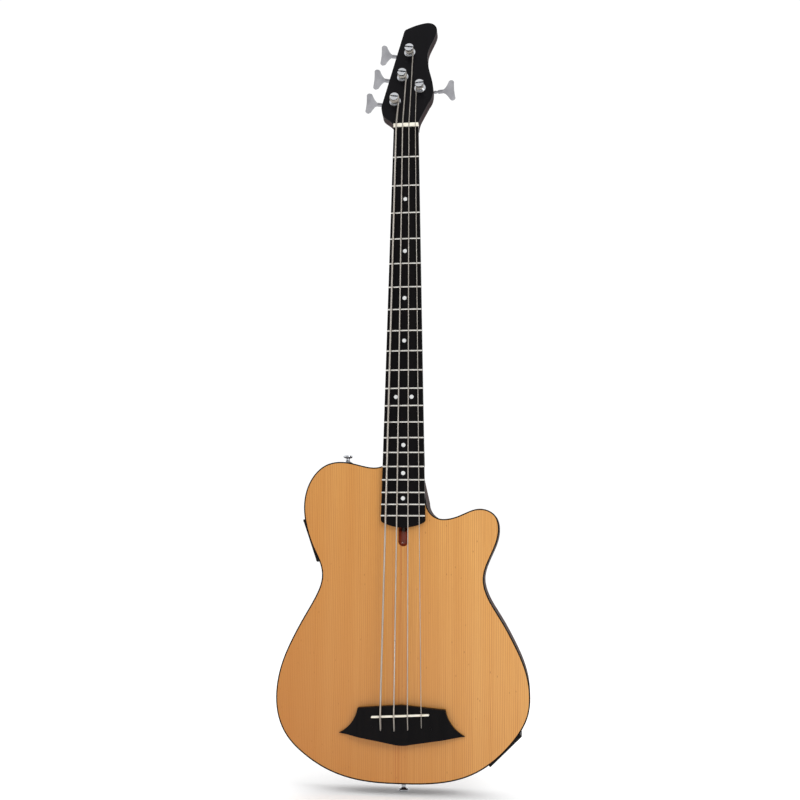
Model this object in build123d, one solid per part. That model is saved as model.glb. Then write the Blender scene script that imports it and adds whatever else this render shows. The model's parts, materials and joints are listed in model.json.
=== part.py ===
from build123d import *
import math
import os

# Four-string single-cutaway electro-acoustic bass guitar, in millimetres.
# Origin: where the end strap button meets the tail, on the centreline at the body's mid-depth.
# +Z runs up the neck, the front faces -Y, and +X is the treble (cutaway) side.

# --- driving dimensions -------------------------------------------------------------------------
SCALE_LENGTH = 863.6        # 34 in string length, nut to twelfth fret doubled
NUT_Z = 960.0               # front of the nut above the tail
FRET_COUNT = 20
BODY_DEPTH = 58.0
TOP_T = 3.2                 # soundboard
BACK_T = 3.2
RIM_T = 2.6
BINDING_W = 1.8
BOARD_T = 7.0               # fretboard at its centre
BOARD_RADIUS = 400.0        # crown of the fretboard
NUT_W = 38.0
END_FRET_W = 64.0           # fretboard width at the last fret
SHOULDER_Z = 441.0          # where the neck meets the body
HEAD_ANGLE = 13.0           # the headstock leans back
HEAD_T = 15.0
VENEER_T = 2.0
FIT = 0.05                  # radial clearance of a running fit
GAP = 0.3                   # clearance between pieces that pass each other

TOP_Y = -BODY_DEPTH / 2
BACK_Y = BODY_DEPTH / 2
UNDER_TOP_Y = TOP_Y + TOP_T
INNER_BACK_Y = BACK_Y - BACK_T
BOARD_Y = TOP_Y - BOARD_T   # fretboard surface
SADDLE_Z = 92.4
SADDLE_TOP_Y = TOP_Y - 12.6
BRIDGE_T = 9.5

# --- strings: wire diameter, place at the nut, place at the saddle ---------------------------------
STRINGS = {
    "e": (2.7, -14.55, -28.5),
    "a": (2.15, -4.85, -9.5),
    "d": (1.65, 4.85, 9.5),
    "g": (1.15, 14.55, 28.5),
}

# --- tuners: post place on the headstock (across, up the face) and the way the key points -----------
LEFT_KEY_TILT = 11.8        # keys on the bass side point up from square by this much
RIGHT_KEY_TILT = 4.6
TUNERS = {
    "e": (-18.7, 49.0, 180 - LEFT_KEY_TILT, -1),
    "a": (-8.4, 95.8, 180 - LEFT_KEY_TILT, -1),
    "d": (1.1, 143.8, 180 - LEFT_KEY_TILT, -1),
    "g": (19.5, 72.3, RIGHT_KEY_TILT, 1),
}
POST_R = 5.0
POST_WAIST_R = 4.6
POST_TOP = 14.0             # post above the headstock face
WINDINGS = 3
GEAR_TEETH = 20
GEAR_PITCH_R = 6.6
WORM_PITCH_R = 2.7
WORM_PITCH = 2 * math.pi * GEAR_PITCH_R / GEAR_TEETH
WORM_OFFSET = GEAR_PITCH_R + WORM_PITCH_R
WORM_DEPTH = -24.0          # worm axis below the headstock face
KEY_REACH = 33.0            # from the worm's middle to the root of the key
KEY_TURN = 40.0             # keys rest turned about their shafts

HEAD = Plane(
    origin=(0, BOARD_Y + 1.0, NUT_Z),
    x_dir=(1, 0, 0),
    z_dir=(0, -math.cos(math.radians(HEAD_ANGLE)), math.sin(math.radians(HEAD_ANGLE))),
)

# --- side panels: middle of the panel on the body's side, and the outward direction (X, Z) ----------
PREAMP_MIDDLE = (-134.6, 333.6)
PREAMP_OUT = (-0.9405, -0.3399)
PREAMP_PANEL = (65.0, 44.0, 4.0)
BATTERY_MIDDLE = (141.7, 48.6)
BATTERY_OUT = (0.693, -0.721)
BATTERY_PANEL = (61.0, 44.0, 3.4)


def depth_plane(y):
    """The plane at this depth, seen from the front: X across and Z up."""
    return Plane(origin=(0, y, 0), x_dir=(1, 0, 0), z_dir=(0, -1, 0))


def layer(sketch, y_front, y_back):
    """A slab with a frontal outline between two depths."""
    return extrude(depth_plane(y_back) * sketch, amount=y_back - y_front)


def side_plane(middle, out):
    """A plane on the body's side: X runs front to back, Y along the side, Z outward."""
    return Plane(origin=(middle[0], 0, middle[1]), x_dir=(0, 1, 0), z_dir=(out[0], 0, out[1]))


def rod(start, end, radius):
    """A round bar between two points."""
    run = Vector(*end) - Vector(*start)
    return Plane(origin=start, z_dir=run) * Cylinder(
        radius, run.length, align=(Align.CENTER, Align.CENTER, Align.MIN)
    )


def bent_wire(points, bends, radius):
    """A round wire along straight runs joined by tangent arcs."""
    path = FilletPolyline(*points, radius=bends)
    return sweep(Plane(origin=path @ 0, z_dir=path % 0) * Circle(radius), path=path)


def bar(radius, low, high):
    """A round bar on the local Z axis between two heights."""
    return Pos(0, 0, low) * Cylinder(radius, high - low, align=(Align.CENTER, Align.CENTER, Align.MIN))


def group(shapes):
    """Several separate solids kept as one piece of the list."""
    solids = []
    for shape in shapes:
        solids += shape.solids()
    return Compound(children=solids)


def fret_distance(number):
    """Distance from the nut to a fret, by the twelfth root of two."""
    return SCALE_LENGTH * (1 - 2 ** (-number / 12))


def board_half_width(distance):
    """Half of the fretboard's width at a distance down from the nut."""
    slope = (END_FRET_W - NUT_W) / 2 / fret_distance(FRET_COUNT)
    return NUT_W / 2 + slope * distance


# --- body ---------------------------------------------------------------------------------------
OUTLINE_POINTS = [
    (-30, SHOULDER_Z), (-44, 438.2), (-66, 442.2), (-92, 446.7), (-114.4, 442.5), (-132.1, 427.8),
    (-143.5, 405), (-146.7, 381.4), (-142.5, 352), (-130.8, 320), (-120, 297), (-117.8, 279),
    (-124.5, 257), (-141.1, 227), (-159.3, 193.1), (-173.4, 159.4), (-180.6, 120), (-177.5, 88),
    (-164.9, 60.9), (-139, 35.8), (-102.4, 14.8), (-60, 3.1), (0, 0), (55, 3.4), (96, 14.8),
    (121, 29.2), (155, 61.6), (174.2, 94), (178, 127), (171.6, 159.5), (157.4, 192), (139.5, 224.3),
    (122.3, 253), (115.2, 280), (122.4, 305.6), (133.8, 332), (137, 354), (132, 369.3),
    (121, 377), (108, 378.9), (91, 373.8), (75, 367.1), (65, 364.7), (58, 364.1),
]
WAIST_Z = 283.0             # the treble side is joined from two pieces here
CUTAWAY_R = 25.0            # the curve from the horn up into the wall beside the neck
WALL_X = 33.0               # foot of that wall, and its top, tucked in under the fretboard
WALL_TOP_X = 21.0
WALL_TOP_LEAN = 0.795       # how far the leaning wall's top moves across for each mm of inset
OUTLINE_CURVE = Spline(*OUTLINE_POINTS)
INSET_STEPS = 110


def inset(amount):
    """The body's outline moved inwards: shoulders, waist, lower bout and the cutaway's horn."""
    valley_x, valley_z = OUTLINE_POINTS[-1]
    curve = OUTLINE_CURVE
    if amount > 0:
        moved = [(OUTLINE_POINTS[0][0], SHOULDER_Z - amount)]
        for step in range(1, INSET_STEPS):
            point = OUTLINE_CURVE @ (step / INSET_STEPS)
            tangent = OUTLINE_CURVE % (step / INSET_STEPS)
            moved.append((point.X - tangent.Y * amount, point.Y + tangent.X * amount))
        moved.append((valley_x, valley_z - amount))
        curve = Spline(*moved)
    foot = (WALL_X - amount, valley_z + CUTAWAY_R)
    valley = RadiusArc((valley_x, valley_z - amount), foot, CUTAWAY_R + amount)
    wall_top = (WALL_TOP_X - WALL_TOP_LEAN * amount, SHOULDER_Z - amount)
    neck_end = Polyline(foot, wall_top, curve @ 0)
    return make_face(curve.edges() + valley.edges() + neck_end.edges())


OUTLINE = inset(0)


def frontal_box(x_low, x_high, y_low, y_high, z_low, z_high):
    """A box by its limits along X, Y and Z."""
    size = (x_high - x_low, y_high - y_low, z_high - z_low)
    return Pos(x_low, y_low, z_low) * Box(*size, align=(Align.MIN, Align.MIN, Align.MIN))


SLOT_R = 7.2                # truss rod access slot
SLOT_END_Z = 324.9
TENON = (-15.0, 15.0, UNDER_TOP_Y, 14.0)


def slot_sketch(radius):
    """The access slot: straight sides and a round lower end."""
    straight = Pos(0, (SLOT_END_Z + SLOT_R + 370) / 2) * Rectangle(
        2 * radius, 370 - SLOT_END_Z - SLOT_R
    )
    return straight + Pos(0, SLOT_END_Z + SLOT_R) * Circle(radius)


def soundboard():
    """Spruce top inside the binding, with the truss rod access slot."""
    return layer(inset(BINDING_W) - slot_sketch(SLOT_R), TOP_Y, UNDER_TOP_Y)


def back_plate():
    """Flat back inside its binding."""
    return layer(inset(BINDING_W), INNER_BACK_Y, BACK_Y)


def bindings():
    """The edge strips round the top and the back."""
    ring = OUTLINE - inset(BINDING_W)
    return group([layer(ring, TOP_Y, UNDER_TOP_Y), layer(ring, INNER_BACK_Y, BACK_Y)])


def side_openings():
    """What is cut through the sides: tenon, panels and strap screws."""
    tenon = frontal_box(
        TENON[0] - 0.1, TENON[1] + 0.1, UNDER_TOP_Y - 1, TENON[3] + 0.1, SHOULDER_Z - 12, SHOULDER_Z + 1
    )
    preamp = side_plane(PREAMP_MIDDLE, PREAMP_OUT) * Box(34, 58, 30)
    battery = side_plane(BATTERY_MIDDLE, BATTERY_OUT) * Box(38.4, 55.4, 30)
    preamp_seat = side_plane(PREAMP_MIDDLE, PREAMP_OUT) * panel_slab(PREAMP_PANEL[:2], 0, 4, 3)
    battery_seat = side_plane(BATTERY_MIDDLE, BATTERY_OUT) * panel_slab(BATTERY_PANEL[:2], 0, 4, 3)
    end_screw = rod((0, 0, -5), (0, 0, 8), 2.1)
    horn_screw = rod((-88, 0, 430), (-88, 0, 450), 2.1)
    pilots = [place * bar(1.15, -9, 3) for place in preamp_screw_places()]
    return [tenon, preamp, battery, preamp_seat, battery_seat, end_screw, horn_screw] + pilots


def bent_side(x_low, x_high, z_low, z_high):
    """The part of the bent rim that lies between these limits."""
    side = layer(OUTLINE - inset(RIM_T), UNDER_TOP_Y, INNER_BACK_Y)
    side = side & frontal_box(x_low, x_high, -BODY_DEPTH, BODY_DEPTH, z_low, z_high)
    for opening in side_openings():
        side = side - opening
    return side


LINING_W = 5.0
LINING_H = 11.0


def linings():
    """Glue strips inside the rim, under the top and on the back."""
    ring = inset(RIM_T) - inset(RIM_T + LINING_W)
    front = layer(ring, UNDER_TOP_Y, UNDER_TOP_Y + LINING_H)
    rear = layer(ring, INNER_BACK_Y - LINING_H, INNER_BACK_Y)
    clear = [
        neck_block_envelope(),
        tail_block_envelope(),
        side_plane(PREAMP_MIDDLE, PREAMP_OUT) * Pos(0, 0, -12) * Box(46, 68, 34),
        side_plane(BATTERY_MIDDLE, BATTERY_OUT) * Pos(0, 0, -14) * Box(46, 62, 44),
    ]
    for shape in clear:
        front = front - shape
        rear = rear - shape
    return group([front, rear])


BLOCK_LOW_Z = 318.0
BLOCK_HALF_W = 29.0


def neck_block_envelope():
    """The room that the neck block takes."""
    return frontal_box(
        -BLOCK_HALF_W, BLOCK_HALF_W, UNDER_TOP_Y - 1, INNER_BACK_Y + 1, BLOCK_LOW_Z, SHOULDER_Z
    )


def neck_block():
    """Block that takes the tenon, with the polished half-round rod channel in its front."""
    tall = frontal_box(
        -BLOCK_HALF_W, BLOCK_HALF_W, UNDER_TOP_Y, INNER_BACK_Y, 372, SHOULDER_Z - RIM_T
    )
    tall = tall & layer(inset(RIM_T), UNDER_TOP_Y, INNER_BACK_Y)
    low = frontal_box(-BLOCK_HALF_W, BLOCK_HALF_W, UNDER_TOP_Y, UNDER_TOP_Y + 16, BLOCK_LOW_Z, 372)
    channel = rod((0, UNDER_TOP_Y, SLOT_END_Z + SLOT_R), (0, UNDER_TOP_Y, 445), SLOT_R)
    channel_end = Pos(0, UNDER_TOP_Y, SLOT_END_Z + SLOT_R) * Sphere(SLOT_R)
    mortise = frontal_box(
        TENON[0] - 0.1, TENON[1] + 0.1, UNDER_TOP_Y - 1, TENON[3] + 0.1, SHOULDER_Z - 12.1, SHOULDER_Z
    )
    block = tall + low - channel - channel_end - mortise
    for y in NECK_BOLT_Y:
        block = block - rod((0, y, 365), (0, y, SHOULDER_Z), 3.2)
        block = block - rod((0, y, 365), (0, y, 384), 6.3)
    return block


def tail_block_envelope():
    """The room that the tail block takes."""
    return frontal_box(-32, 32, UNDER_TOP_Y - 1, INNER_BACK_Y + 1, -1, 24)


def tail_block():
    """Block inside the tail, behind the end strap button."""
    block = layer(inset(RIM_T) & Pos(0, 12) * Rectangle(64, 24), UNDER_TOP_Y, INNER_BACK_Y)
    return block - rod((0, 0, -5), (0, 0, 26), 2.1)


def arched_brace(x_mid, z_mid, length, angle, y_wall, inward, width=8.0, height=12.0):
    """A bar glued to a plate, with its ends scooped down to nothing much."""
    profile = Polyline(
        (-length / 2, 0), (-length / 2, 3), (-length / 2 + 32, height), (length / 2 - 32, height),
        (length / 2, 3), (length / 2, 0), (-length / 2, 0),
    )
    along = (math.cos(math.radians(angle)), 0, math.sin(math.radians(angle)))
    across = Vector(*along).cross(Vector(0, inward, 0))
    place = Plane(origin=(x_mid, y_wall, z_mid), x_dir=along, z_dir=across)
    return extrude(place * make_face(profile), amount=width / 2, both=True)


def top_braces():
    """Transverse bars and slanted tone bars under the soundboard."""
    bars = [
        arched_brace(0, 300, 218, 0, UNDER_TOP_Y, 1),
        arched_brace(-72, 205, 150, 68, UNDER_TOP_Y, 1),
        arched_brace(72, 205, 150, 112, UNDER_TOP_Y, 1),
        arched_brace(0, 195, 150, 90, UNDER_TOP_Y, 1),
        arched_brace(0, 38, 180, 0, UNDER_TOP_Y, 1),
    ]
    return group(bars)


def back_braces():
    """Bars across the back."""
    bars = [(350, 240), (262, 208), (180, 298), (108, 318)]
    return group([arched_brace(0, z, length, 0, INNER_BACK_Y, -1) for z, length in bars])


# --- bridge ---------------------------------------------------------------------------------------
SADDLE_TILT = 3.45          # the bass end of the saddle sits lower
BALL_SEAT_Z = 57.6
BALL_R = 3.0                # ball end of a string
BOLT_X = 41.0               # the bridge's two bolts, under their white dots
BOLT_Z = 76.5
LEAD_X = -38.0              # the pickup's lead passes through the top here
LEAD_Z = 90.2


def bridge_sketch():
    """Bat-wing outline: shallow peak above, concave flanks, pointed wing tips, rounded foot."""
    half = [
        Line((0, 106.4), (61.4, 101.4)),
        ThreePointArc((61.4, 101.4), (71.5, 79.5), (88.3, 66.5)),
        Line((88.3, 66.5), (12, 54.0)),
        ThreePointArc((12, 54.0), (6, 53.0), (0, 52.7)),
    ]
    mirrored = [mirror(edge, about=Plane.YZ) for edge in half]
    return make_face([e for part in half + mirrored for e in part.edges()])


def saddle_place(y):
    """The middle of the saddle's slot at a depth, with X along the saddle."""
    return Plane(
        origin=(-1.3, y, SADDLE_Z),
        x_dir=(math.cos(math.radians(SADDLE_TILT)), 0, math.sin(math.radians(SADDLE_TILT))),
        z_dir=(0, -1, 0),
    )


def ball_seat(name):
    """Where a string's ball end rests in the bridge; the rear edge is slanted, so outer seats are higher."""
    x = STRINGS[name][2]
    return (x, TOP_Y - 4.6, BALL_SEAT_Z + abs(x) * 0.152)


def saddle_point(name):
    """Where a string crosses the saddle."""
    diameter, _, x = STRINGS[name]
    z = SADDLE_Z + (x + 1.3) * math.tan(math.radians(SADDLE_TILT))
    return (x, SADDLE_TOP_Y - diameter / 2 - 0.2, z)


def bridge():
    """Ebony bridge: thick middle, scooped wings, saddle slot and string tunnels."""
    blank = layer(bridge_sketch(), TOP_Y - BRIDGE_T, TOP_Y)
    crown = Spline(
        (-95, TOP_Y - 3.2), (-76, TOP_Y - 4.3), (-60, TOP_Y - 8.9), (-48, TOP_Y - BRIDGE_T),
        tangents=[(1, 0), (1, 0)],
    )
    right_crown = mirror(crown, about=Plane.YZ)
    flat = Line(crown @ 1, right_crown @ 1)
    base = Polyline(crown @ 0, (-95, TOP_Y + 1), (95, TOP_Y + 1), right_crown @ 0)
    section = make_face(crown.edges() + flat.edges() + right_crown.edges() + base.edges())
    body = blank & (Pos(0, 0, 45) * extrude(section, amount=70))
    body = body - extrude(saddle_place(TOP_Y - 3) * SlotOverall(82.6, 3.1), amount=20)
    for name, (diameter, _, _) in STRINGS.items():
        seat = Vector(*ball_seat(name))
        over_saddle = Vector(*saddle_point(name))
        run = (seat - over_saddle).normalized()
        body = body - rod(seat, over_saddle, diameter / 2 + 0.35)
        body = body - rod(seat - run * 3, seat + run * 14, BALL_R + GAP)
    for x in (-BOLT_X, BOLT_X):
        body = body - rod((x, TOP_Y - BRIDGE_T - 1, BOLT_Z), (x, TOP_Y + 1, BOLT_Z), 1.8)
    return body


def bridge_dots():
    """Plugs over the bridge's two bolts."""
    face_y = TOP_Y - BRIDGE_T
    return group([rod((x, face_y - 0.1, BOLT_Z), (x, face_y + 2, BOLT_Z), 1.75) for x in (-BOLT_X, BOLT_X)])


def bridge_bolts():
    """Bolts from the bridge through the top, with their nuts inside."""
    bolts = []
    for x in (-BOLT_X, BOLT_X):
        shank = rod((x, TOP_Y - BRIDGE_T + 2.1, BOLT_Z), (x, UNDER_TOP_Y + 7, BOLT_Z), 1.7)
        nut = rod((x, UNDER_TOP_Y + 3.05, BOLT_Z), (x, UNDER_TOP_Y + 5.5, BOLT_Z), 3.6)
        bolts.append(shank + nut)
    return group(bolts)


def bridge_plate():
    """Hardwood plate glued under the bridge."""
    plate = frontal_box(-80, 80, UNDER_TOP_Y, UNDER_TOP_Y + 3, 52, 110)
    for x in (-BOLT_X, BOLT_X):
        plate = plate - rod((x, UNDER_TOP_Y - 1, BOLT_Z), (x, UNDER_TOP_Y + 4, BOLT_Z), 1.8)
    return plate - rod((LEAD_X, UNDER_TOP_Y - 1, LEAD_Z), (LEAD_X, UNDER_TOP_Y + 4, LEAD_Z), 1.4)


def drilled_top():
    """The soundboard with its bolt holes and the pickup's lead hole."""
    top = soundboard()
    for x in (-BOLT_X, BOLT_X):
        top = top - rod((x, TOP_Y - 1, BOLT_Z), (x, UNDER_TOP_Y + 1, BOLT_Z), 1.8)
    return top - rod((LEAD_X, TOP_Y - 1, LEAD_Z), (LEAD_X, UNDER_TOP_Y + 1, LEAD_Z), 1.4)


def saddle_pickup():
    """Strip pickup in the floor of the saddle slot."""
    return extrude(saddle_place(TOP_Y - 3.02) * SlotOverall(81.4, 2.7), amount=1.6)


def saddle():
    """Bone saddle: flat blade with a gently crowned, rounded top."""
    blade = extrude(saddle_place(TOP_Y - 4.66) * SlotOverall(81.3, 2.9), amount=12.6 - 4.66)
    return fillet(blade.faces().sort_by(Axis.Y)[0].edges(), 1.2)


# --- neck -----------------------------------------------------------------------------------------
NECK_BOLT_Y = (-9.0, 4.0)
ROD_Y = -22.8


def neck_section(z, half_width, depth, front=TOP_Y):
    """A D-shaped section of the neck: flat under the fretboard, round behind."""
    back = EllipticalCenterArc((0, 0), half_width, depth, start_angle=0, arc_size=180)
    face = make_face(back.edges() + Line(back @ 1, back @ 0).edges())
    return Plane(origin=(0, front, z)) * face


def neck_shaft():
    """Neck and heel in one sweep of D-shaped sections."""
    at_heel = NUT_Z - 520
    sections = [
        neck_section(NUT_Z, NUT_W / 2, 15.0),
        neck_section(700, board_half_width(NUT_Z - 700), 16.4),
        neck_section(520, board_half_width(NUT_Z - 520), 18.6),
    ]
    shaft = loft(sections[:2], ruled=True) + loft(sections[1:], ruled=True)
    heel = loft([
        neck_section(520, board_half_width(at_heel), 18.6),
        neck_section(492, board_half_width(NUT_Z - 492), 21.5),
        neck_section(470, board_half_width(NUT_Z - 470), 30.0),
        neck_section(455, board_half_width(NUT_Z - 455), 42.0),
        neck_section(SHOULDER_Z, board_half_width(NUT_Z - SHOULDER_Z), 54.5),
    ])
    return shaft + heel


def head_sketch():
    """Headstock outline: both shoulders, slanted left edge, raised tip, waisted right edge."""
    left_edge = ((-38.5, 48.1), (-9.6, 186.7))
    shoulder = Spline(
        (-19.0, 0), (-21.5, 8), (-29, 15.6), (-36.8, 24), (-39.6, 36), left_edge[0],
        tangents=[(0, 1), (0.204, 0.979)],
    )
    edge = Line(*left_edge)
    corner = JernArc(start=left_edge[1], tangent=(0.204, 0.979), radius=8, arc_size=-54)
    tip = Spline(
        corner @ 1, (5.3, 197.2), (20, 201.6), (30, 202.4), (38.5, 198.4), (43.1, 190),
        (42.2, 179), (35.3, 159.7), (30.2, 143), (30.0, 127), (33.6, 104.9), (38.3, 85.2), (40.2, 68),
        (38.6, 54.6), (34.2, 45),
    )
    lower = Line((34.2, 45), (23.4, 20.2))
    foot = Spline((23.4, 20.2), (20.2, 10.5), (19.0, 0), tangents=[(-0.4, -0.917), (0, -1)])
    base = Line((19.0, 0), (-19.0, 0))
    pieces = [shoulder, edge, corner, tip, lower, foot, base]
    return make_face([e for piece in pieces for e in piece.edges()])


def head_slab(low, high):
    """A slab of the headstock between two depths under its face."""
    return extrude(HEAD * Pos(0, 0, low) * head_sketch(), amount=high - low)


def tuner_place(name):
    """Frame of a tuner: origin on the face, X along the worm towards the key, Z out of the face."""
    x, h, turn, _ = TUNERS[name]
    return HEAD.location * Pos(x, h, 0) * Rot(0, 0, turn)


def head_bores(shape):
    """Cut the bush hole of each tuner."""
    for name in TUNERS:
        shape = shape - tuner_place(name) * bar(8.0, -HEAD_T - 1, 1)
    return shape


def neck():
    """Neck, heel, tenon and headstock in one piece of wood."""
    wood = neck_shaft() + head_slab(-HEAD_T, -VENEER_T)
    volute = loft([
        neck_section(NUT_Z, NUT_W / 2, 15.0),
        neck_section(NUT_Z + 14, 20.5, 14.5, front=TOP_Y + 2.4),
        neck_section(NUT_Z + 34, 17.0, 8.5, front=TOP_Y + 8),
    ])
    wood = wood + volute
    tenon = frontal_box(TENON[0], TENON[1], UNDER_TOP_Y, TENON[3], SHOULDER_Z - 12, SHOULDER_Z + 4)
    wood = wood + tenon
    nut_seat = frontal_box(-30, 30, -60, TOP_Y, NUT_Z - 5, NUT_Z + NUT_T + 0.02)
    channel = frontal_box(-3.3, 3.3, TOP_Y - 1, ROD_Y + 3.4, SHOULDER_Z - 13, NUT_Z - 12)
    wood = wood - nut_seat - channel
    for y in NECK_BOLT_Y:
        wood = wood - rod((0, y, SHOULDER_Z - 13), (0, y, SHOULDER_Z + 22), 3.02)
    return head_bores(wood)


NUT_T = 5.5


def headstock_veneer():
    """Dark face veneer of the headstock."""
    veneer = head_slab(-VENEER_T, 0)
    veneer = veneer - frontal_box(-30, 30, -60, 0, NUT_Z - 20, NUT_Z + NUT_T + 0.02)
    return head_bores(veneer)


def board_sketch():
    """Fretboard outline: tapered, with rounded lower corners and a convex end."""
    low = 596.0
    half = board_half_width(low)
    end = ThreePointArc((-half, NUT_Z - low - 4.0), (0, 351.5), (half, NUT_Z - low - 4.0))
    sides = Polyline(end @ 1, (NUT_W / 2, NUT_Z), (-NUT_W / 2, NUT_Z), end @ 0)
    face = make_face(end.edges() + sides.edges())
    return fillet(face.vertices().sort_by(Axis.Y)[:2], 4.5)


def crown_cylinder(height):
    """The crowned surface of the fretboard, raised by a height, as a long round bar."""
    axis_y = BOARD_Y + BOARD_RADIUS
    return rod((0, axis_y, 340), (0, axis_y, NUT_Z + 1), BOARD_RADIUS + height)


DOT_FRETS = (3, 5, 7, 9, 15, 17, 19)
DOT_R = 3.0
DOT_DEPTH = 2.5


def dot_places():
    """Where the front position dots are, across and up."""
    places = [(0, NUT_Z - (fret_distance(n - 1) + fret_distance(n)) / 2) for n in DOT_FRETS]
    twelve = NUT_Z - (fret_distance(11) + fret_distance(12)) / 2
    return places + [(-11.5, twelve), (11.5, twelve)]


def position_dots():
    """Round inlays in the fretboard, flush with its crowned face."""
    plugs = [rod((x, BOARD_Y - 1, z), (x, BOARD_Y + DOT_DEPTH, z), DOT_R) for x, z in dot_places()]
    return group([plug & crown_cylinder(0) for plug in plugs])


FRET_W = 2.4
FRET_H = 1.1
TANG_W = 0.6
TANG_DEPTH = 2.2


def fret(number):
    """One fret wire: a rounded crown on a thin tang, bent to the fretboard's crown."""
    distance = fret_distance(number)
    z = NUT_Z - distance
    half = board_half_width(distance)
    sweep = math.degrees(math.asin(half / BOARD_RADIUS))
    axis_y = BOARD_Y + BOARD_RADIUS
    crown = ThreePointArc((-FRET_W / 2, 0), (0, FRET_H), (FRET_W / 2, 0))
    tang = Polyline(
        crown @ 1, (TANG_W / 2, 0), (TANG_W / 2, -TANG_DEPTH), (-TANG_W / 2, -TANG_DEPTH),
        (-TANG_W / 2, 0), crown @ 0,
    )
    profile = make_face(crown.edges() + tang.edges())
    middle = Plane(origin=(0, BOARD_Y, z), x_dir=(0, 0, 1), z_dir=(1, 0, 0))
    bend = Axis((0, axis_y, 0), (0, 0, 1))
    turned = (middle * profile).rotate(bend, -sweep)
    return revolve(turned, axis=bend, revolution_arc=2 * sweep)


def frets():
    """All fret wires, on the bare fretboard."""
    return group([fret(number) for number in range(1, FRET_COUNT + 1)])


def fretboard():
    """Crowned fretboard with fret slots and dot seats."""
    board = layer(board_sketch(), BOARD_Y - 1, TOP_Y) & crown_cylinder(0)
    for number in range(1, FRET_COUNT + 1):
        z = NUT_Z - fret_distance(number)
        slot = frontal_box(-40, 40, BOARD_Y - 2, TOP_Y - 3, z - TANG_W / 2, z + TANG_W / 2)
        board = board - (slot - crown_cylinder(-TANG_DEPTH))
    for x, z in dot_places():
        board = board - rod((x, BOARD_Y - 2, z), (x, BOARD_Y + DOT_DEPTH, z), DOT_R)
    return board


def nut_point(name, side):
    """A string's centre at the front (0) or the back (1) of the nut."""
    diameter, x, _ = STRINGS[name]
    return (x, BOARD_Y - 1.0 - diameter / 2 + side * 0.3, NUT_Z + side * NUT_T)


def string_nut():
    """Bone nut with a slot for each string."""
    block = frontal_box(-NUT_W / 2, NUT_W / 2, BOARD_Y - 2.6, TOP_Y, NUT_Z + 0.01, NUT_Z + NUT_T)
    block = block & crown_cylinder(2.4).moved(Location((0, 0, 10)))
    for name, (diameter, _, _) in STRINGS.items():
        low = nut_point(name, 0)
        high = nut_point(name, 1)
        radius = diameter / 2 + 0.03
        direction = (Vector(*high) - Vector(*low)).normalized()
        start = Vector(*low) - direction * 2
        end = Vector(*high) + direction * 2
        open_slot = rod(start, end, radius)
        left, right = low[0] - radius, low[0] + radius
        block = block - open_slot - frontal_box(left, right, low[1] - 6, low[1], NUT_Z - 2, NUT_Z + NUT_T + 2)
    return block


def truss_rod():
    """Steel rod in the neck with its anchor at the nut end."""
    steel = rod((0, ROD_Y, 361.5), (0, ROD_Y, NUT_Z - 20), 2.5)
    anchor = frontal_box(-3.2, 3.2, ROD_Y - 3.2, ROD_Y + 3.3, NUT_Z - 24, NUT_Z - 13)
    return steel + anchor


def truss_rod_nut():
    """Spoked adjusting nut at the rod's lower end, turned through the access slot."""
    wheel = rod((0, ROD_Y, 346), (0, ROD_Y, 360.5), 3.6)
    wheel = wheel - rod((0, ROD_Y, 352), (0, ROD_Y, 362), 2.0)
    hexagon = Plane(origin=(0, ROD_Y, 345), z_dir=(0, 0, 1)) * RegularPolygon(2.9, 6)
    wheel = wheel - extrude(hexagon, amount=6)
    for turn in range(4):
        spoke = rod((0, 0, 0), (9, 0, 0), 0.9)
        wheel = wheel - Pos(0, ROD_Y, 355.5) * Rot(0, 0, 45 + 90 * turn) * Pos(2.6, 0, 0) * spoke
    return wheel


def neck_bolts():
    """Two bolts from the block into the heel."""
    bolts = []
    for y in NECK_BOLT_Y:
        bolts.append(rod((0, y, 384), (0, y, SHOULDER_Z + 20), 3.0) + rod((0, y, 378), (0, y, 384), 5.6))
    return group(bolts)


# --- strings --------------------------------------------------------------------------------------
def coil_place(name):
    """Radius of a string's turns on its post, and the height of the lowest turn."""
    wire = STRINGS[name][0] / 2
    return POST_WAIST_R + GAP + wire, 3.5 + wire


STRING_BEND_R = 6.0


def string(name):
    """One string: ball end, playing length and the turns round its post."""
    diameter = STRINGS[name][0]
    radius = diameter / 2
    coil_r, coil_h = coil_place(name)
    x, h, _, side = TUNERS[name]
    tangent = (HEAD.location * Pos(x - side * coil_r, h, coil_h)).position
    points = [ball_seat(name), saddle_point(name), nut_point(name, 0), nut_point(name, 1), tangent]
    wire = bent_wire(points, [STRING_BEND_R] * 3, radius)
    seat = Vector(*points[0])
    run = (Vector(*points[1]) - seat).normalized()
    wire = wire + rod(seat - run * 2.2, seat + run * 0.4, BALL_R)
    coil = HEAD.location * Pos(x, h, coil_h) * Torus(coil_r, radius)
    upper = []
    for turn in range(1, WINDINGS):
        ring = HEAD.location * Pos(x, h, coil_h + turn * (diameter + 0.02)) * Torus(coil_r, radius)
        upper.append(ring)
    return group([wire, coil - wire] + upper)


# --- tuners ---------------------------------------------------------------------------------------
def post_profile():
    """Half-section of a post: shaft, collar, waist for the string, crowned cap."""
    return Polyline(
        (0, GEAR_LOW), (POST_R - 1.0, GEAR_LOW), (POST_R - 1.0, -17.0), (POST_R, -17.0), (POST_R, 1.9),
        (6.6, 1.9), (6.6, 2.7), (POST_WAIST_R, 3.4), (POST_WAIST_R, POST_TOP - 2.6),
        (6.9, POST_TOP - 1.8), (6.9, POST_TOP - 0.6), (6.2, POST_TOP), (0, POST_TOP), (0, GEAR_LOW),
    )


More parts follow.
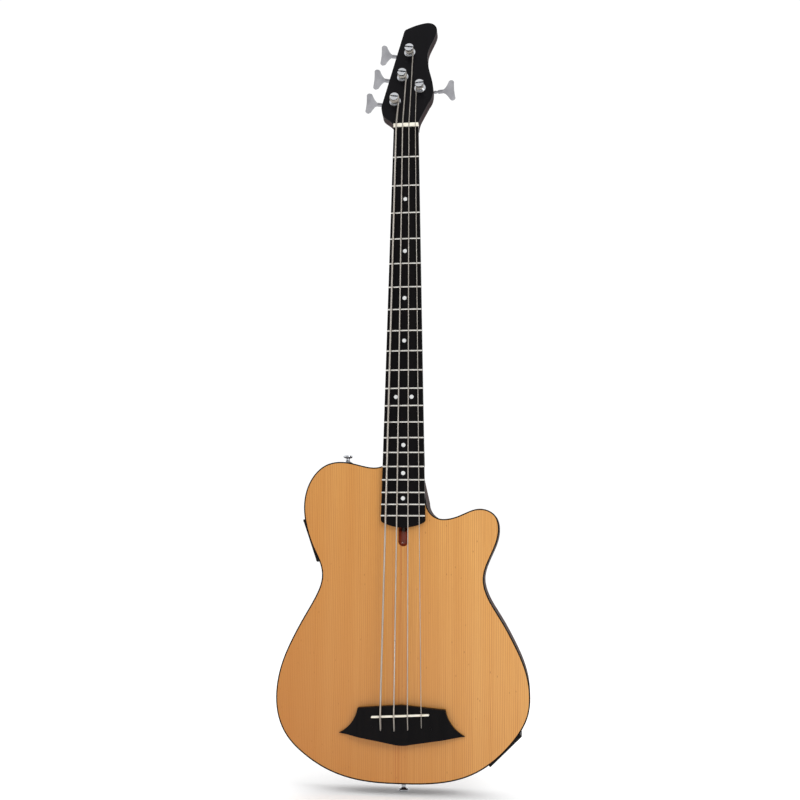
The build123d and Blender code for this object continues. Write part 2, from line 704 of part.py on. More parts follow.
def post(name):
    """Slotted string post."""
    turned = revolve(Plane.XZ * make_face(post_profile()), axis=Axis.Z)
    slot = Pos(0, 0, POST_TOP - 3.2) * Box(20, 2.6, 6.5)
    well = bar(1.7, POST_TOP - 9, POST_TOP + 1)
    return tuner_place(name) * (turned - slot - well)


def ferrule():
    """Bush pressed into the headstock, with the wide bright ring on the face."""
    ring = bar(8.8, 0.02, 1.2) + bar(7.6, 1.2, 1.7) + bar(7.9, -HEAD_T + 0.1, 0.02)
    return ring - bar(POST_R + FIT, -HEAD_T - 1, 3)


def tuner_ferrules():
    """One bush for each post."""
    return group([tuner_place(name) * ferrule() for name in TUNERS])


PLATE_T = 1.6
EAR_X = (-8.3, 8.3)
EAR_T = 2.4
GEAR_LOW = WORM_DEPTH - 2.2
GEAR_HIGH = WORM_DEPTH + 2.2
SHAFT_R = 2.0


def baseplate(side):
    """Plate on the back of the headstock with two ears that carry the worm."""
    low = -HEAD_T - PLATE_T
    plate = Pos(0, side * 3.0, low) * extrude(RectangleRounded(25, 37, 4), amount=PLATE_T - 0.05)
    ears = []
    for x in EAR_X:
        ear = Pos(x, side * WORM_OFFSET, low - 5.0) * Box(EAR_T, 8.4, 10.4)
        round_end = Pos(x - EAR_T / 2, side * WORM_OFFSET, WORM_DEPTH) * Rot(0, 90, 0) * bar(4.2, 0, EAR_T)
        ears.append(ear + round_end)
    bracket = plate + ears[0] + ears[1]
    shaft_hole = Pos(-20, side * WORM_OFFSET, WORM_DEPTH) * Rot(0, 90, 0) * bar(SHAFT_R + FIT, 0, 40)
    bracket = bracket - shaft_hole - bar(POST_R + FIT, -40, 0)
    for x, y in screw_places(side):
        bracket = bracket - Pos(x, y, 0) * bar(1.6, -30, 0)
    return bracket


def screw_places(side):
    """Where the four screws of a baseplate are."""
    return [(x, side * y) for x in (-9.4, 9.4) for y in (-12.0, 17.6)]


def tuner_baseplates():
    """One bracket for each tuner."""
    return group([tuner_place(name) * baseplate(TUNERS[name][3]) for name in TUNERS])


def wood_screw(head_r, shank_r, length, head_t):
    """Round-headed wood screw: head above zero, pointed shank below, cross slot in the head."""
    head = bar(head_r, 0, head_t * 0.45) + Pos(0, 0, head_t * 0.45) * Cone(
        head_r, head_r * 0.55, head_t * 0.55, align=(Align.CENTER, Align.CENTER, Align.MIN)
    )
    shank = bar(shank_r, -length + 2, 0) + Pos(0, 0, -length) * Cone(
        0.3, shank_r, 2, align=(Align.CENTER, Align.CENTER, Align.MIN)
    )
    cross = Pos(0, 0, head_t) * (Box(head_r * 1.2, 0.5, head_t) + Box(0.5, head_r * 1.2, head_t))
    return head + shank - cross


def tuner_screws():
    """Screws that hold the brackets to the headstock."""
    screw = Rot(180, 0, 0) * wood_screw(2.7, 1.3, 10, 1.6)
    screws = []
    for name in TUNERS:
        for x, y in screw_places(TUNERS[name][3]):
            screws.append(tuner_place(name) * Pos(x, y, -HEAD_T - PLATE_T) * screw)
    return group(screws)


def screw_bores(shape):
    """Cut the pilot holes of the tuner screws."""
    for name in TUNERS:
        for x, y in screw_places(TUNERS[name][3]):
            shape = shape - tuner_place(name) * Pos(x, y, -HEAD_T) * bar(1.35, -1, 9)
    return shape


def gear(name):
    """Worm wheel on the post's lower end: narrow teeth with free play, held by its screw."""
    blank = bar(GEAR_PITCH_R - 0.75, GEAR_LOW, GEAR_HIGH)
    tooth = Polyline(
        (GEAR_PITCH_R - 1.0, -0.46), (GEAR_PITCH_R + 0.55, -0.2), (GEAR_PITCH_R + 0.55, 0.2),
        (GEAR_PITCH_R - 1.0, 0.46), (GEAR_PITCH_R - 1.0, -0.46),
    )
    solid_tooth = Pos(0, 0, GEAR_LOW) * extrude(make_face(tooth), amount=GEAR_HIGH - GEAR_LOW)
    side = TUNERS[name][3]
    wheel = blank
    for index in range(GEAR_TEETH):
        wheel = wheel + Rot(0, 0, side * 90 + (index + 0.5) * 360 / GEAR_TEETH) * solid_tooth
    wheel = wheel + bar(POST_R + 0.6, GEAR_HIGH, -17.0) - bar(POST_R - 1.0 + 0.01, GEAR_LOW - 1, -16)
    washer = bar(5.2, GEAR_LOW - 0.82, GEAR_LOW - 0.02)
    screw = washer + bar(3.2, GEAR_LOW - 2.6, GEAR_LOW - 0.5)
    screw = screw - Pos(0, 0, GEAR_LOW - 2.6) * Box(8, 0.9, 2.0)
    return group([tuner_place(name) * wheel, tuner_place(name) * screw])


WORM_TURNS = 5


def worm(side):
    """Worm on its shaft along X, with one helical thread whose middle turn faces the gear."""
    half = WORM_TURNS * WORM_PITCH / 2
    core = bar(WORM_PITCH_R - 0.75, -half - 0.8, half + 0.8)
    path = Helix(WORM_PITCH, 2 * half, WORM_PITCH_R - 0.8)
    ridge = Polyline((-0.1, -0.42), (1.35, -0.18), (1.35, 0.18), (-0.1, 0.42), (-0.1, -0.42))
    start = Plane(origin=path @ 0, x_dir=(1, 0, 0), z_dir=path % 0)
    thread = Pos(0, 0, -half) * sweep(start * make_face(ridge), path=path, is_frenet=True)
    return Rot(side * 90, 0, 0) * Rot(0, 90, 0) * (core + thread)


def key_blade():
    """Y-shaped key: a short stem that flares into two broad lobes with a shallow hollow between."""
    upper = [
        Spline((0, 2.6), (4, 3.8), (8.6, 8.4), (11.6, 13.2), tangents=[(1, 0.05), (0.5, 0.87)]),
        ThreePointArc((11.6, 13.2), (16.4, 15.4), (20.3, 12.0)),
        Spline((20.3, 12.0), (19.6, 6.0), (19.3, 0), tangents=[(-0.2, -0.98), (0, -1)]),
    ]
    lower = [mirror(edge, about=Plane.XZ) for edge in upper]
    root = Line((0, 2.6), (0, -2.6))
    face = make_face([e for part in upper + lower + [root] for e in part.edges()])
    blade = extrude(face, amount=2.1, both=True)
    wedge = Polyline((-2, -2.6), (0, -2.6), (22, -1.5), (22, 1.5), (0, 2.6), (-2, 2.6), (-2, -2.6))
    taper = extrude(Plane.XZ * make_face(wedge), amount=20, both=True)
    return blade & taper


def worm_and_key(name):
    """The key with its shaft, collars and worm."""
    side = TUNERS[name][3]
    outer = EAR_X[1] + EAR_T / 2
    shaft = Rot(0, 90, 0) * (
        bar(SHAFT_R, -EAR_X[1] - EAR_T / 2 - 0.6, KEY_REACH - 4)
        + bar(3.3, outer + GAP, outer + 3.0)
        + bar(2.6, KEY_REACH - 12, KEY_REACH - 9)
        + bar(3.1, KEY_REACH - 6, KEY_REACH + 1)
    )
    blade = Pos(KEY_REACH, 0, 0) * Rot(side * KEY_TURN, 0, 0) * key_blade()
    whole = shaft + worm(side) + blade
    return tuner_place(name) * Pos(0, side * WORM_OFFSET, WORM_DEPTH) * whole


# --- strap buttons ----------------------------------------------------------------------------------
HORN_BUTTON = (-88.0, 447.0)
TAIL_BUTTON_H = 15.4
HORN_BUTTON_H = 11.0


def strap_button(height):
    """A turned button: foot, narrow waist and rounded rim, bored for its screw."""
    foot = Polyline((0, 0), (6.2, 0), (6.2, 1.2))
    waist = Spline((6.2, 1.2), (3.8, height * 0.26), (3.2, height * 0.5), (4.4, height - 4.2))
    rim = ThreePointArc((4.4, height - 4.2), (7.3, height - 2.8), (6.6, height - 0.4))
    top = Polyline((6.6, height - 0.4), (6.2, height), (0, height), (0, 0))
    half_section = make_face(foot.edges() + waist.edges() + rim.edges() + top.edges())
    button = revolve(Plane.XZ * half_section, axis=Axis.Z)
    return button - bar(2.2, -1, height) - Pos(0, 0, height - 2.4) * bar(4.3, 0, 3)


def button_places():
    """Frames of the two buttons, Z pointing away from the body."""
    end = Plane(origin=(0, 0, -0.2), x_dir=(1, 0, 0), z_dir=(0, 0, -1)).location
    horn_foot = (HORN_BUTTON[0], 0, HORN_BUTTON[1] + 1.0)
    return [end, Plane(origin=horn_foot, x_dir=(1, 0, 0), z_dir=(0.02, 0, 1)).location]


def strap_buttons():
    """Chrome buttons at the tail and on the horn."""
    tail, horn = button_places()
    return group([tail * strap_button(TAIL_BUTTON_H), horn * strap_button(HORN_BUTTON_H)])


def strap_screws():
    """Screws through the strap buttons."""
    screws = []
    for place, height in zip(button_places(), (TAIL_BUTTON_H, HORN_BUTTON_H)):
        length = height - 2.4 + 17.0
        screws.append(place * Pos(0, 0, height - 2.38) * wood_screw(4.1, 2.0, length, 2.2))
    return group(screws)


def horn_washer():
    """Felt washer under the horn's button."""
    place = button_places()[1]
    return place * (bar(7.4, -1.0, -0.02) - bar(2.3, -2, 1))


# --- electronics ------------------------------------------------------------------------------------
KNOBS = ("volume", "bass", "middle", "treble")
KNOB_PITCH = 14.0
KNOB_R = 5.4


def knob_offset(index):
    """How far along the panel a control sits from its middle."""
    return (1.5 - index) * KNOB_PITCH


def panel_slab(size, low, high, corner):
    """A rounded slab on a side panel's frame."""
    return Pos(0, 0, low) * extrude(RectangleRounded(size[1], size[0], corner), amount=high - low)


def preamp_panel():
    """Control panel on the bass side: bezel outside, shallow tray through the side."""
    length, height, proud = PREAMP_PANEL
    panel = panel_slab((length, height), 0.05, proud, 3)
    tray = Pos(0, 0, -8) * Box(33.6, 57.6, 16.2)
    panel = panel + tray
    for index in range(len(KNOBS)):
        panel = panel - Pos(0, knob_offset(index), 0) * bar(KNOB_R + GAP, -4.0, 5)
        panel = panel - Pos(0, knob_offset(index), 0) * bar(1.5 + FIT, -20, 0)
    panel = side_plane(PREAMP_MIDDLE, PREAMP_OUT) * panel
    for place in preamp_screw_places():
        panel = panel - place * bar(1.1, -1, 5)
    return panel


def preamp_knob(index):
    """Low fluted control knob on its shaft, sunk in its well."""
    knob = bar(KNOB_R, -3.6, PREAMP_PANEL[2] - 0.2) + bar(1.5, -15.9, -3.6)
    for flute in range(16):
        knob = knob - Rot(0, 0, flute * 22.5) * Pos(KNOB_R + 0.15, 0, 0) * bar(0.45, -2.6, 4)
    pointer = Pos(0, 3.2, PREAMP_PANEL[2] - 0.2) * Box(0.8, 3.0, 0.8)
    return side_plane(PREAMP_MIDDLE, PREAMP_OUT) * Pos(0, knob_offset(index), 0) * (knob - pointer)


def preamp_screw_places():
    """Frames of the control panel's corner screws, on the panel's seat."""
    length, height, _ = PREAMP_PANEL
    corners = [(x, y) for x in (-1, 1) for y in (-1, 1)]
    place = side_plane(PREAMP_MIDDLE, PREAMP_OUT)
    return [place * Pos(x * (height / 2 - 2.6), y * (length / 2 - 2.6), 0) for x, y in corners]


def preamp_screws():
    """Corner screws of the control panel."""
    screw = Pos(0, 0, PREAMP_PANEL[2]) * wood_screw(1.9, 1.05, 9, 0.7)
    return group([place * screw for place in preamp_screw_places()])


def preamp_circuit():
    """Circuit board with its controls' bodies, behind the tray."""
    board = Pos(0, 0, -25.2) * Box(32, 56, 1.6)
    parts = board
    for index in range(len(KNOBS)):
        parts = parts + Pos(0, knob_offset(index), -20.4) * Box(11, 11, 8.2)
    chip = Pos(-10.5, 8, -26.6) * Box(6, 16, 2)
    parts = parts + chip
    for index in range(len(KNOBS)):
        parts = parts - Pos(0, knob_offset(index), 0) * bar(1.8, -20, -10)
    return side_plane(PREAMP_MIDDLE, PREAMP_OUT) * parts


DRAWER_X = -8.2             # the drawer sits on the front half of the panel
JACK_X = 12.6
DRAWER = (19.6, 51.6, 30.0)
JACK_R = 4.7


def battery_box():
    """Panel on the lower treble side, with the battery's case behind it."""
    length, height, proud = BATTERY_PANEL
    panel = panel_slab((length, height), 0.05, proud, 3)
    case = Pos(0, 0, -17) * Box(38, 55, 34.4)
    box = panel + case
    box = box - Pos(DRAWER_X, 0, -14) * Box(DRAWER[0] + 2 * GAP, DRAWER[1] + 2 * GAP, 36.0)
    box = box - Pos(JACK_X, 0, -21) * Box(16, 40, 36)
    box = box - Pos(JACK_X, 0, 0) * bar(JACK_R + 0.02, -30, 6)
    return side_plane(BATTERY_MIDDLE, BATTERY_OUT) * box


def battery_drawer():
    """Tray that slides out of the panel with the battery."""
    width, length, depth = DRAWER
    proud = BATTERY_PANEL[2]
    tray = Pos(DRAWER_X, 0, proud - 0.1 - depth / 2) * Box(width, length, depth)
    hollow = Pos(DRAWER_X - 1.2, 0, proud - 0.1 - depth / 2 - 0.6) * Box(width, 49.4, depth - 3.4)
    grip = Pos(DRAWER_X, 0, proud) * Rot(0, 90, 0) * Pos(0, 0, -7) * bar(1.6, 0, 14)
    return side_plane(BATTERY_MIDDLE, BATTERY_OUT) * (tray - hollow - grip)


def battery():
    """Nine-volt block battery, with its two studs at one end."""
    low = BATTERY_PANEL[2] - 0.1 - 15.6
    block = Pos(DRAWER_X - 0.9, -1.0, low) * Box(16.8, 45.8, 25.6)
    small_stud = Pos(0, 0, -6.2) * Rot(-90, 0, 0) * bar(2.6, 0, 2.2)
    large_stud = Pos(0, 0, 6.2) * Rot(-90, 0, 0) * bar(3.2, 0, 2.2)
    studs = Pos(DRAWER_X - 0.9, 21.8, low) * (small_stud + large_stud)
    return side_plane(BATTERY_MIDDLE, BATTERY_OUT) * (block + studs)


JACK_BORE_R = 3.2
JACK_LENGTH = 26.0


def output_jack():
    """Output socket: threaded bush, outside nut and the contact barrel."""
    proud = BATTERY_PANEL[2]
    barrel = bar(JACK_R, -12.0, proud + 2.4) + bar(5.9, -JACK_LENGTH + proud + 2.4, -0.2 - 3)
    nut = extrude(Pos(0, 0, proud + 0.02) * RegularPolygon(7.0, 6), amount=2.0)
    socket = barrel + nut - bar(JACK_BORE_R, -JACK_LENGTH + proud + 3.6, proud + 5)
    return side_plane(BATTERY_MIDDLE, BATTERY_OUT) * Pos(JACK_X, 0, 0) * socket


WIRE_R = 0.9


def wiring():
    """Leads that are clipped inside the body: pickup to preamp, and preamp to battery case and jack."""
    board = side_plane(PREAMP_MIDDLE, PREAMP_OUT)
    case = side_plane(BATTERY_MIDDLE, BATTERY_OUT)
    pickup_end = (board * Pos(6, 20, -26.4)).position
    main_start = (board * Pos(-3, 20, -26.4)).position
    main_end = (case * Pos(6, -12, -34.4)).position
    pickup_route = [
        (LEAD_X, UNDER_TOP_Y + 0.4, LEAD_Z), (LEAD_X, -4, LEAD_Z), (-98, 4, 150), (-90, 6, 262), pickup_end,
    ]
    main_route = [main_start, (-84, -6, 262), (-62, 8, 180), (-10, 8, 118), (60, 8, 90), main_end]
    pickup_lead = bent_wire(pickup_route, [9, 18, 34], WIRE_R)
    main_lead = bent_wire(main_route, [28, 40, 50, 40], WIRE_R)
    return group([pickup_lead, main_lead])


# --- all pieces -------------------------------------------------------------------------------------
def all_pieces():
    """Every named piece of the instrument."""
    pieces = {
        "soundboard": drilled_top(),
        "back_plate": back_plate(),
        "side_bass": bent_side(-200, 0, -20, 480),
        "side_treble": bent_side(0, 200, -20, WAIST_Z),
        "side_cutaway": bent_side(0, 200, WAIST_Z, 480),
        "bindings": bindings(),
        "linings": linings(),
        "neck_block": neck_block(),
        "tail_block": tail_block(),
        "top_braces": top_braces(),
        "back_braces": back_braces(),
        "bridge_plate": bridge_plate(),
        "bridge": bridge(),
        "bridge_dots": bridge_dots(),
        "bridge_bolts": bridge_bolts(),
        "saddle": saddle(),
        "saddle_pickup": saddle_pickup(),
        "neck": screw_bores(neck()),
        "headstock_veneer": headstock_veneer(),
        "fretboard": fretboard(),
        "frets": frets(),
        "position_dots": position_dots(),
        "string_nut": string_nut(),
        "truss_rod": truss_rod(),
        "truss_rod_nut": truss_rod_nut(),
        "neck_bolts": neck_bolts(),
        "tuner_ferrules": tuner_ferrules(),
        "tuner_baseplates": tuner_baseplates(),
        "tuner_screws": tuner_screws(),
        "strap_buttons": strap_buttons(),
        "strap_screws": strap_screws(),
        "horn_washer": horn_washer(),
        "preamp_panel": preamp_panel(),
        "preamp_screws": preamp_screws(),
        "preamp_circuit": preamp_circuit(),
        "battery_box": battery_box(),
        "battery_drawer": battery_drawer(),
        "battery": battery(),
        "output_jack": output_jack(),
        "wiring": wiring(),
    }
    for name in STRINGS:
        pieces["string_" + name] = string(name)
        pieces["post_" + name] = post(name)
        pieces["gear_" + name] = gear(name)
        pieces["worm_and_key_" + name] = worm_and_key(name)
    for index, name in enumerate(KNOBS):
        pieces["knob_" + name] = preamp_knob(index)
    return pieces


def main():
    """Write one file for each piece."""
    os.makedirs("parts", exist_ok=True)
    for name, shape in all_pieces().items():
        export_step(shape, "parts/" + name + ".step")


main()
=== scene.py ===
import json
import math

import bmesh
import bpy
from mathutils import Matrix, Vector

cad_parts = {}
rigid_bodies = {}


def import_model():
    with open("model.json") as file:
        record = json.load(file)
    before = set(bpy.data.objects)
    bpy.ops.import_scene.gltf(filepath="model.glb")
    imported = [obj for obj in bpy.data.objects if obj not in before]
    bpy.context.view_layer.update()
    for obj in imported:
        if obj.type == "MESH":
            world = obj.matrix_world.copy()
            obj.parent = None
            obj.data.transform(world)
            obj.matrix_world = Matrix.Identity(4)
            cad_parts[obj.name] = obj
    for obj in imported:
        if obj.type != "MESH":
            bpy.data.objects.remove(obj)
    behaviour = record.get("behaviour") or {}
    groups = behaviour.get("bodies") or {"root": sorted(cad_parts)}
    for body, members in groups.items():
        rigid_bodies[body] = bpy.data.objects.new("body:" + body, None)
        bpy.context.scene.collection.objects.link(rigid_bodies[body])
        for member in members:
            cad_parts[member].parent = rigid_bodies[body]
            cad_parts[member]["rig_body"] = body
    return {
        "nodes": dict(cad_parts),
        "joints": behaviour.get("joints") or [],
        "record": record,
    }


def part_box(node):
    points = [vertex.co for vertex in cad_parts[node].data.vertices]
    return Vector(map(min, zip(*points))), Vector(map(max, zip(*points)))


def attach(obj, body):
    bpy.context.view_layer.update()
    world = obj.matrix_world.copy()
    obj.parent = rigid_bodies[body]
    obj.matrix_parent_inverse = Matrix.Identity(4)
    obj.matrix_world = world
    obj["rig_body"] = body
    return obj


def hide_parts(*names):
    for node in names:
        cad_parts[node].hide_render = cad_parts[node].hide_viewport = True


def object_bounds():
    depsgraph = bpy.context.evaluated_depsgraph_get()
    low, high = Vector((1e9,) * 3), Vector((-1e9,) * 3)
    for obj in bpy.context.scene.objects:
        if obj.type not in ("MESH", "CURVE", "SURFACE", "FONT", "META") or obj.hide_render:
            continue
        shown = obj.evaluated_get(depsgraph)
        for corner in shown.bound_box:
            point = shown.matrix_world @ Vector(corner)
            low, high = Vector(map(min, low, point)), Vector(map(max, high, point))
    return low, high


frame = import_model()
cad_low, cad_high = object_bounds()
NODES = frame["nodes"]
STRING_NAMES = ("e", "a", "d", "g")

# --- camera, lights and floor ---------------------------------------------------------------------
CAMERA_PLACE = Vector((0.1729, -1.3975, 0.3191))
CAMERA_YAW = 0.13027
CAMERA_PITCH = 0.15697
CAMERA_ROLL = -0.0087
CAMERA_LENS = 42.77
FRONT_SKY = 0.34            # brightness of the surroundings behind the camera
BACK_SKY = 1.04             # and behind the instrument
SKY_FADE = (-0.8, 0.35)     # the sky goes from one to the other between these sums of depth and height
LIGHTS = (
    # name, place, size in metres, watts
    ("key_light", (1.5, -1.9, 1.9), 1.1, 21),
    ("fill_light", (-1.9, -1.6, 1.0), 1.4, 3),
    ("back_light", (-0.6, 1.8, 1.8), 1.2, 10),
)
FLOOR_REACH = 6.0           # from the origin to the floor's edges
FLOOR_GLOW = 0.12           # keeps the floor's shaded part pale
WHITE = (1.0, 1.0, 1.0, 1.0)


def make_camera():
    """The camera: slightly to the treble side of the instrument, low, looking up a little."""
    data = bpy.data.cameras.new("camera")
    data.lens = CAMERA_LENS
    data.sensor_width = 36.0
    data.clip_start = 0.01
    data.clip_end = 50.0
    camera = bpy.data.objects.new("camera", data)
    turn = (
        Matrix.Rotation(CAMERA_YAW, 3, "Z")
        @ Matrix.Rotation(CAMERA_PITCH, 3, "X")
        @ Matrix.Rotation(CAMERA_ROLL, 3, "Y")
    )
    right, ahead, up = turn.col[0], turn.col[1], turn.col[2]
    placed = Matrix((right, up, -ahead)).transposed().to_4x4()
    placed.translation = CAMERA_PLACE
    camera.matrix_world = placed
    bpy.context.scene.collection.objects.link(camera)
    bpy.context.scene.camera = camera


def area_light(name, place, target, size, watts):
    """A square soft light that faces its target."""
    data = bpy.data.lights.new(name, "AREA")
    data.shape = "SQUARE"
    data.size = size
    data.energy = watts
    light = bpy.data.objects.new(name, data)
    light.location = place
    light.rotation_euler = (Vector(target) - Vector(place)).to_track_quat("-Z", "Y").to_euler()
    bpy.context.scene.collection.objects.link(light)


def make_sky(tree):
    """White behind and above the instrument, darker in front of it, so that metal shows its shape."""
    background = tree.nodes["Background"]
    background.inputs["Color"].default_value = WHITE
    parts = tree.nodes.new("ShaderNodeSeparateXYZ")
    tree.links.new(tree.nodes.new("ShaderNodeTexCoord").outputs["Generated"], parts.inputs[0])
    height = tree.nodes.new("ShaderNodeMath")
    height.operation = "ADD"
    tree.links.new(parts.outputs[1], height.inputs[0])
    tree.links.new(parts.outputs[2], height.inputs[1])
    fade = tree.nodes.new("ShaderNodeMapRange")
    fade.inputs["From Min"].default_value = SKY_FADE[0]
    fade.inputs["From Max"].default_value = SKY_FADE[1]
    fade.inputs["To Min"].default_value = FRONT_SKY
    fade.inputs["To Max"].default_value = BACK_SKY
    tree.links.new(height.outputs[0], fade.inputs["Value"])
    tree.links.new(fade.outputs[0], background.inputs["Strength"])


def make_floor():
    """A plain pale floor at the height of the instrument's lowest point."""
    mesh = bpy.data.meshes.new("floor")
    signs = ((-1, -1), (1, -1), (1, 1), (-1, 1))
    corners = [(x * FLOOR_REACH, y * FLOOR_REACH, cad_low.z) for x, y in signs]
    mesh.from_pydata(corners, [], [(0, 1, 2, 3)])
    floor = bpy.data.objects.new("floor", mesh)
    bpy.context.scene.collection.objects.link(floor)
    finish = Finish("floor_paint", rough=0.75)
    mottle = finish.noise(finish.space((2, 2, 2)), 3.0)
    finish.colour(finish.blend(mottle, (246, 246, 246), (252, 252, 252)))
    finish.shader.inputs["Emission Color"].default_value = WHITE
    finish.shader.inputs["Emission Strength"].default_value = FLOOR_GLOW
    mesh.materials.append(finish.material)


def make_studio():
    """Pale world, three soft lights and a plain pale floor."""
    world = bpy.data.worlds.new("studio")
    world.use_nodes = True
    make_sky(world.node_tree)
    bpy.context.scene.world = world
    bpy.context.scene.view_settings.view_transform = "Standard"
    middle = (cad_low + cad_high) / 2
    for name, place, size, watts in LIGHTS:
        area_light(name, place, middle, size, watts)
    make_floor()


# --- material nodes -------------------------------------------------------------------------------
def linear(rgb):
    """A display colour of 0-255 values as the linear colour that a shader takes."""
    shares = [value / 255 for value in rgb]
    return tuple(s / 12.92 if s <= 0.04045 else ((s + 0.055) / 1.055) ** 2.4 for s in shares) + (1.0,)


class Finish:
    """One node material, built a step at a time round a Principled shader."""

    def __init__(self, name, rough=0.5, metal=0.0, coat=0.0, coat_rough=0.1, specular=0.5, sheen=0.0):
        self.material = bpy.data.materials.new(name)
        self.material.use_nodes = True
        self.tree = self.material.node_tree
        self.tree.nodes.clear()
        self.shader = self.tree.nodes.new("ShaderNodeBsdfPrincipled")
        output = self.tree.nodes.new("ShaderNodeOutputMaterial")
        self.tree.links.new(self.shader.outputs["BSDF"], output.inputs["Surface"])
        self.shader.inputs["Roughness"].default_value = rough
        self.shader.inputs["Metallic"].default_value = metal
        self.shader.inputs["Coat Weight"].default_value = coat
        self.shader.inputs["Coat Roughness"].default_value = coat_rough
        self.shader.inputs["Specular IOR Level"].default_value = specular
        self.shader.inputs["Sheen Weight"].default_value = sheen
        self.height = None

    def put(self, socket, value):
        """Give a socket a constant or another socket."""
        if isinstance(value, bpy.types.NodeSocket):
            self.tree.links.new(value, socket)
        else:
            socket.default_value = value

    def space(self, scale=(1, 1, 1), mirrored=False):
        """Object coordinates in metres, scaled; mirrored makes both halves of the body match."""
        coords = self.tree.nodes.new("ShaderNodeTexCoord").outputs["Object"]
        if mirrored:
            parts = self.tree.nodes.new("ShaderNodeSeparateXYZ")
            self.put(parts.inputs[0], coords)
            joined = self.tree.nodes.new("ShaderNodeCombineXYZ")
            self.put(joined.inputs[0], self.maths("ABSOLUTE", parts.outputs[0]))
            self.put(joined.inputs[1], parts.outputs[1])
            self.put(joined.inputs[2], parts.outputs[2])
            coords = joined.outputs[0]
        mapping = self.tree.nodes.new("ShaderNodeMapping")
        self.put(mapping.inputs["Vector"], coords)
        mapping.inputs["Scale"].default_value = scale
        return mapping.outputs[0]

    def axis(self, index):
        """One object coordinate in metres: 0 across, 1 depth, 2 height."""
        parts = self.tree.nodes.new("ShaderNodeSeparateXYZ")
        self.put(parts.inputs[0], self.space())
        return parts.outputs[index]

    def noise(self, vector, scale, detail=4.0, rough=0.5, distortion=0.0):
        """A cloudy 0-1 pattern."""
        node = self.tree.nodes.new("ShaderNodeTexNoise")
        self.put(node.inputs["Vector"], vector)
        node.inputs["Scale"].default_value = scale
        node.inputs["Detail"].default_value = detail
        node.inputs["Roughness"].default_value = rough
        node.inputs["Distortion"].default_value = distortion
        return node.outputs[0]

    def cells(self, vector, scale):
        """Distance to the nearest of many scattered points."""
        node = self.tree.nodes.new("ShaderNodeTexVoronoi")
        self.put(node.inputs["Vector"], vector)
        node.inputs["Scale"].default_value = scale
        return node.outputs["Distance"]

    def maths(self, how, first, second=0.0):
        """One sum on numbers or sockets, by Blender's name for it."""
        node = self.tree.nodes.new("ShaderNodeMath")
        node.operation = how
        self.put(node.inputs[0], first)
        self.put(node.inputs[1], second)
        return node.outputs[0]

    def rescale(self, value, low, high, to_low=0.0, to_high=1.0):
        """Map a range of values onto another, clamped."""
        node = self.tree.nodes.new("ShaderNodeMapRange")
        self.put(node.inputs["Value"], value)
        node.inputs["From Min"].default_value = low
        node.inputs["From Max"].default_value = high
        node.inputs["To Min"].default_value = to_low
        node.inputs["To Max"].default_value = to_high
        return node.outputs[0]

    def blend(self, share, first, second, how="MIX"):
        """Mix two colours, each a 0-255 triple or a socket."""
        node = self.tree.nodes.new("ShaderNodeMix")
        node.data_type = "RGBA"
        node.blend_type = how
        self.put(node.inputs["Factor"], share)
        for socket, value in ((node.inputs[6], first), (node.inputs[7], second)):
            self.put(socket, linear(value) if isinstance(value, tuple) else value)
        return node.outputs[2]

    def colour(self, value):
        """Set the base colour, from a 0-255 triple or a socket."""
        self.put(self.shader.inputs["Base Color"], linear(value) if isinstance(value, tuple) else value)

    def roughness(self, value, low, high):
        """Vary the roughness between two values with a 0-1 pattern."""
        self.put(self.shader.inputs["Roughness"], self.rescale(value, 0.0, 1.0, low, high))

    def bump(self, value, depth, strength=1.0):
        """Raise the surface by a pattern; depth in metres. Further bumps add to the first."""
        node = self.tree.nodes.new("ShaderNodeBump")
        node.inputs["Strength"].default_value = strength
        node.inputs["Distance"].default_value = depth
        self.put(node.inputs["Height"], value)
        if self.height is not None:
            self.put(node.inputs["Normal"], self.height)
        self.height = node.outputs[0]
        self.put(self.shader.inputs["Normal"], self.height)


# --- finishes -------------------------------------------------------------------------------------
WRAP_PITCH = 0.00062        # spacing of the strings' wrap wire
WORN_STEP = 22              # worn metal is this much darker than its tint, of 255
MARK_STEP = 9               # handled plastic is this much paler than its tint
RING_PITCH = 0.0026         # spacing of the spruce's growth lines
WANDER = 0.012              # how far the growth lines drift sideways in long waves
RIPPLE = 0.006              # and in short ones
STREAK_REACH = (0.004, 0.034)     # dark streaks fade out between these distances from the centre joint
JOINT_W = 0.00035           # half width of the centre joint's line
SHADE_SLANT = 0.45           # the painted shade's edge leans this much of its height sideways
SHADE_REACH = (-0.14, 0.24)  # and fades out between these distances
SPRUCE = {
    "pale": (229, 174, 100),
    "band": (219, 160, 86),
    "cloud": (208, 142, 72),
    "fibre": (190, 122, 62),
    "growth_line": (176, 108, 52),
    "streak": (186, 108, 56),
    "joint": (150, 84, 42),
    "fleck": (132, 74, 38),
    # painted shade: a darker, warmer tone laid over the top's lower bass side
    "painted_shade": (179, 108, 34),
}


def growth_lines(finish, off_centre):
    """The late wood's lines, 0-1, from the distance to the centre joint; their weight varies."""
    wander = finish.noise(finish.space((9, 9, 1.3), mirrored=True), 1.0, detail=2.0)
    ripple = finish.noise(finish.space((70, 70, 0.9), mirrored=True), 1.0, detail=3.0)
    across = finish.maths("ADD", off_centre, finish.maths("MULTIPLY", wander, WANDER))
    across = finish.maths("ADD", across, finish.maths("MULTIPLY", ripple, RIPPLE))
    rings = finish.maths("SINE", finish.maths("MULTIPLY", across, 2 * math.pi / RING_PITCH))
    late_wood = finish.rescale(rings, 0.1, 0.95)
    weight = finish.noise(finish.space((160, 160, 2.0), mirrored=True), 1.0, detail=3.0)
    return finish.maths("MULTIPLY", late_wood, finish.rescale(weight, 0.3, 0.7, 0.3, 1.0))


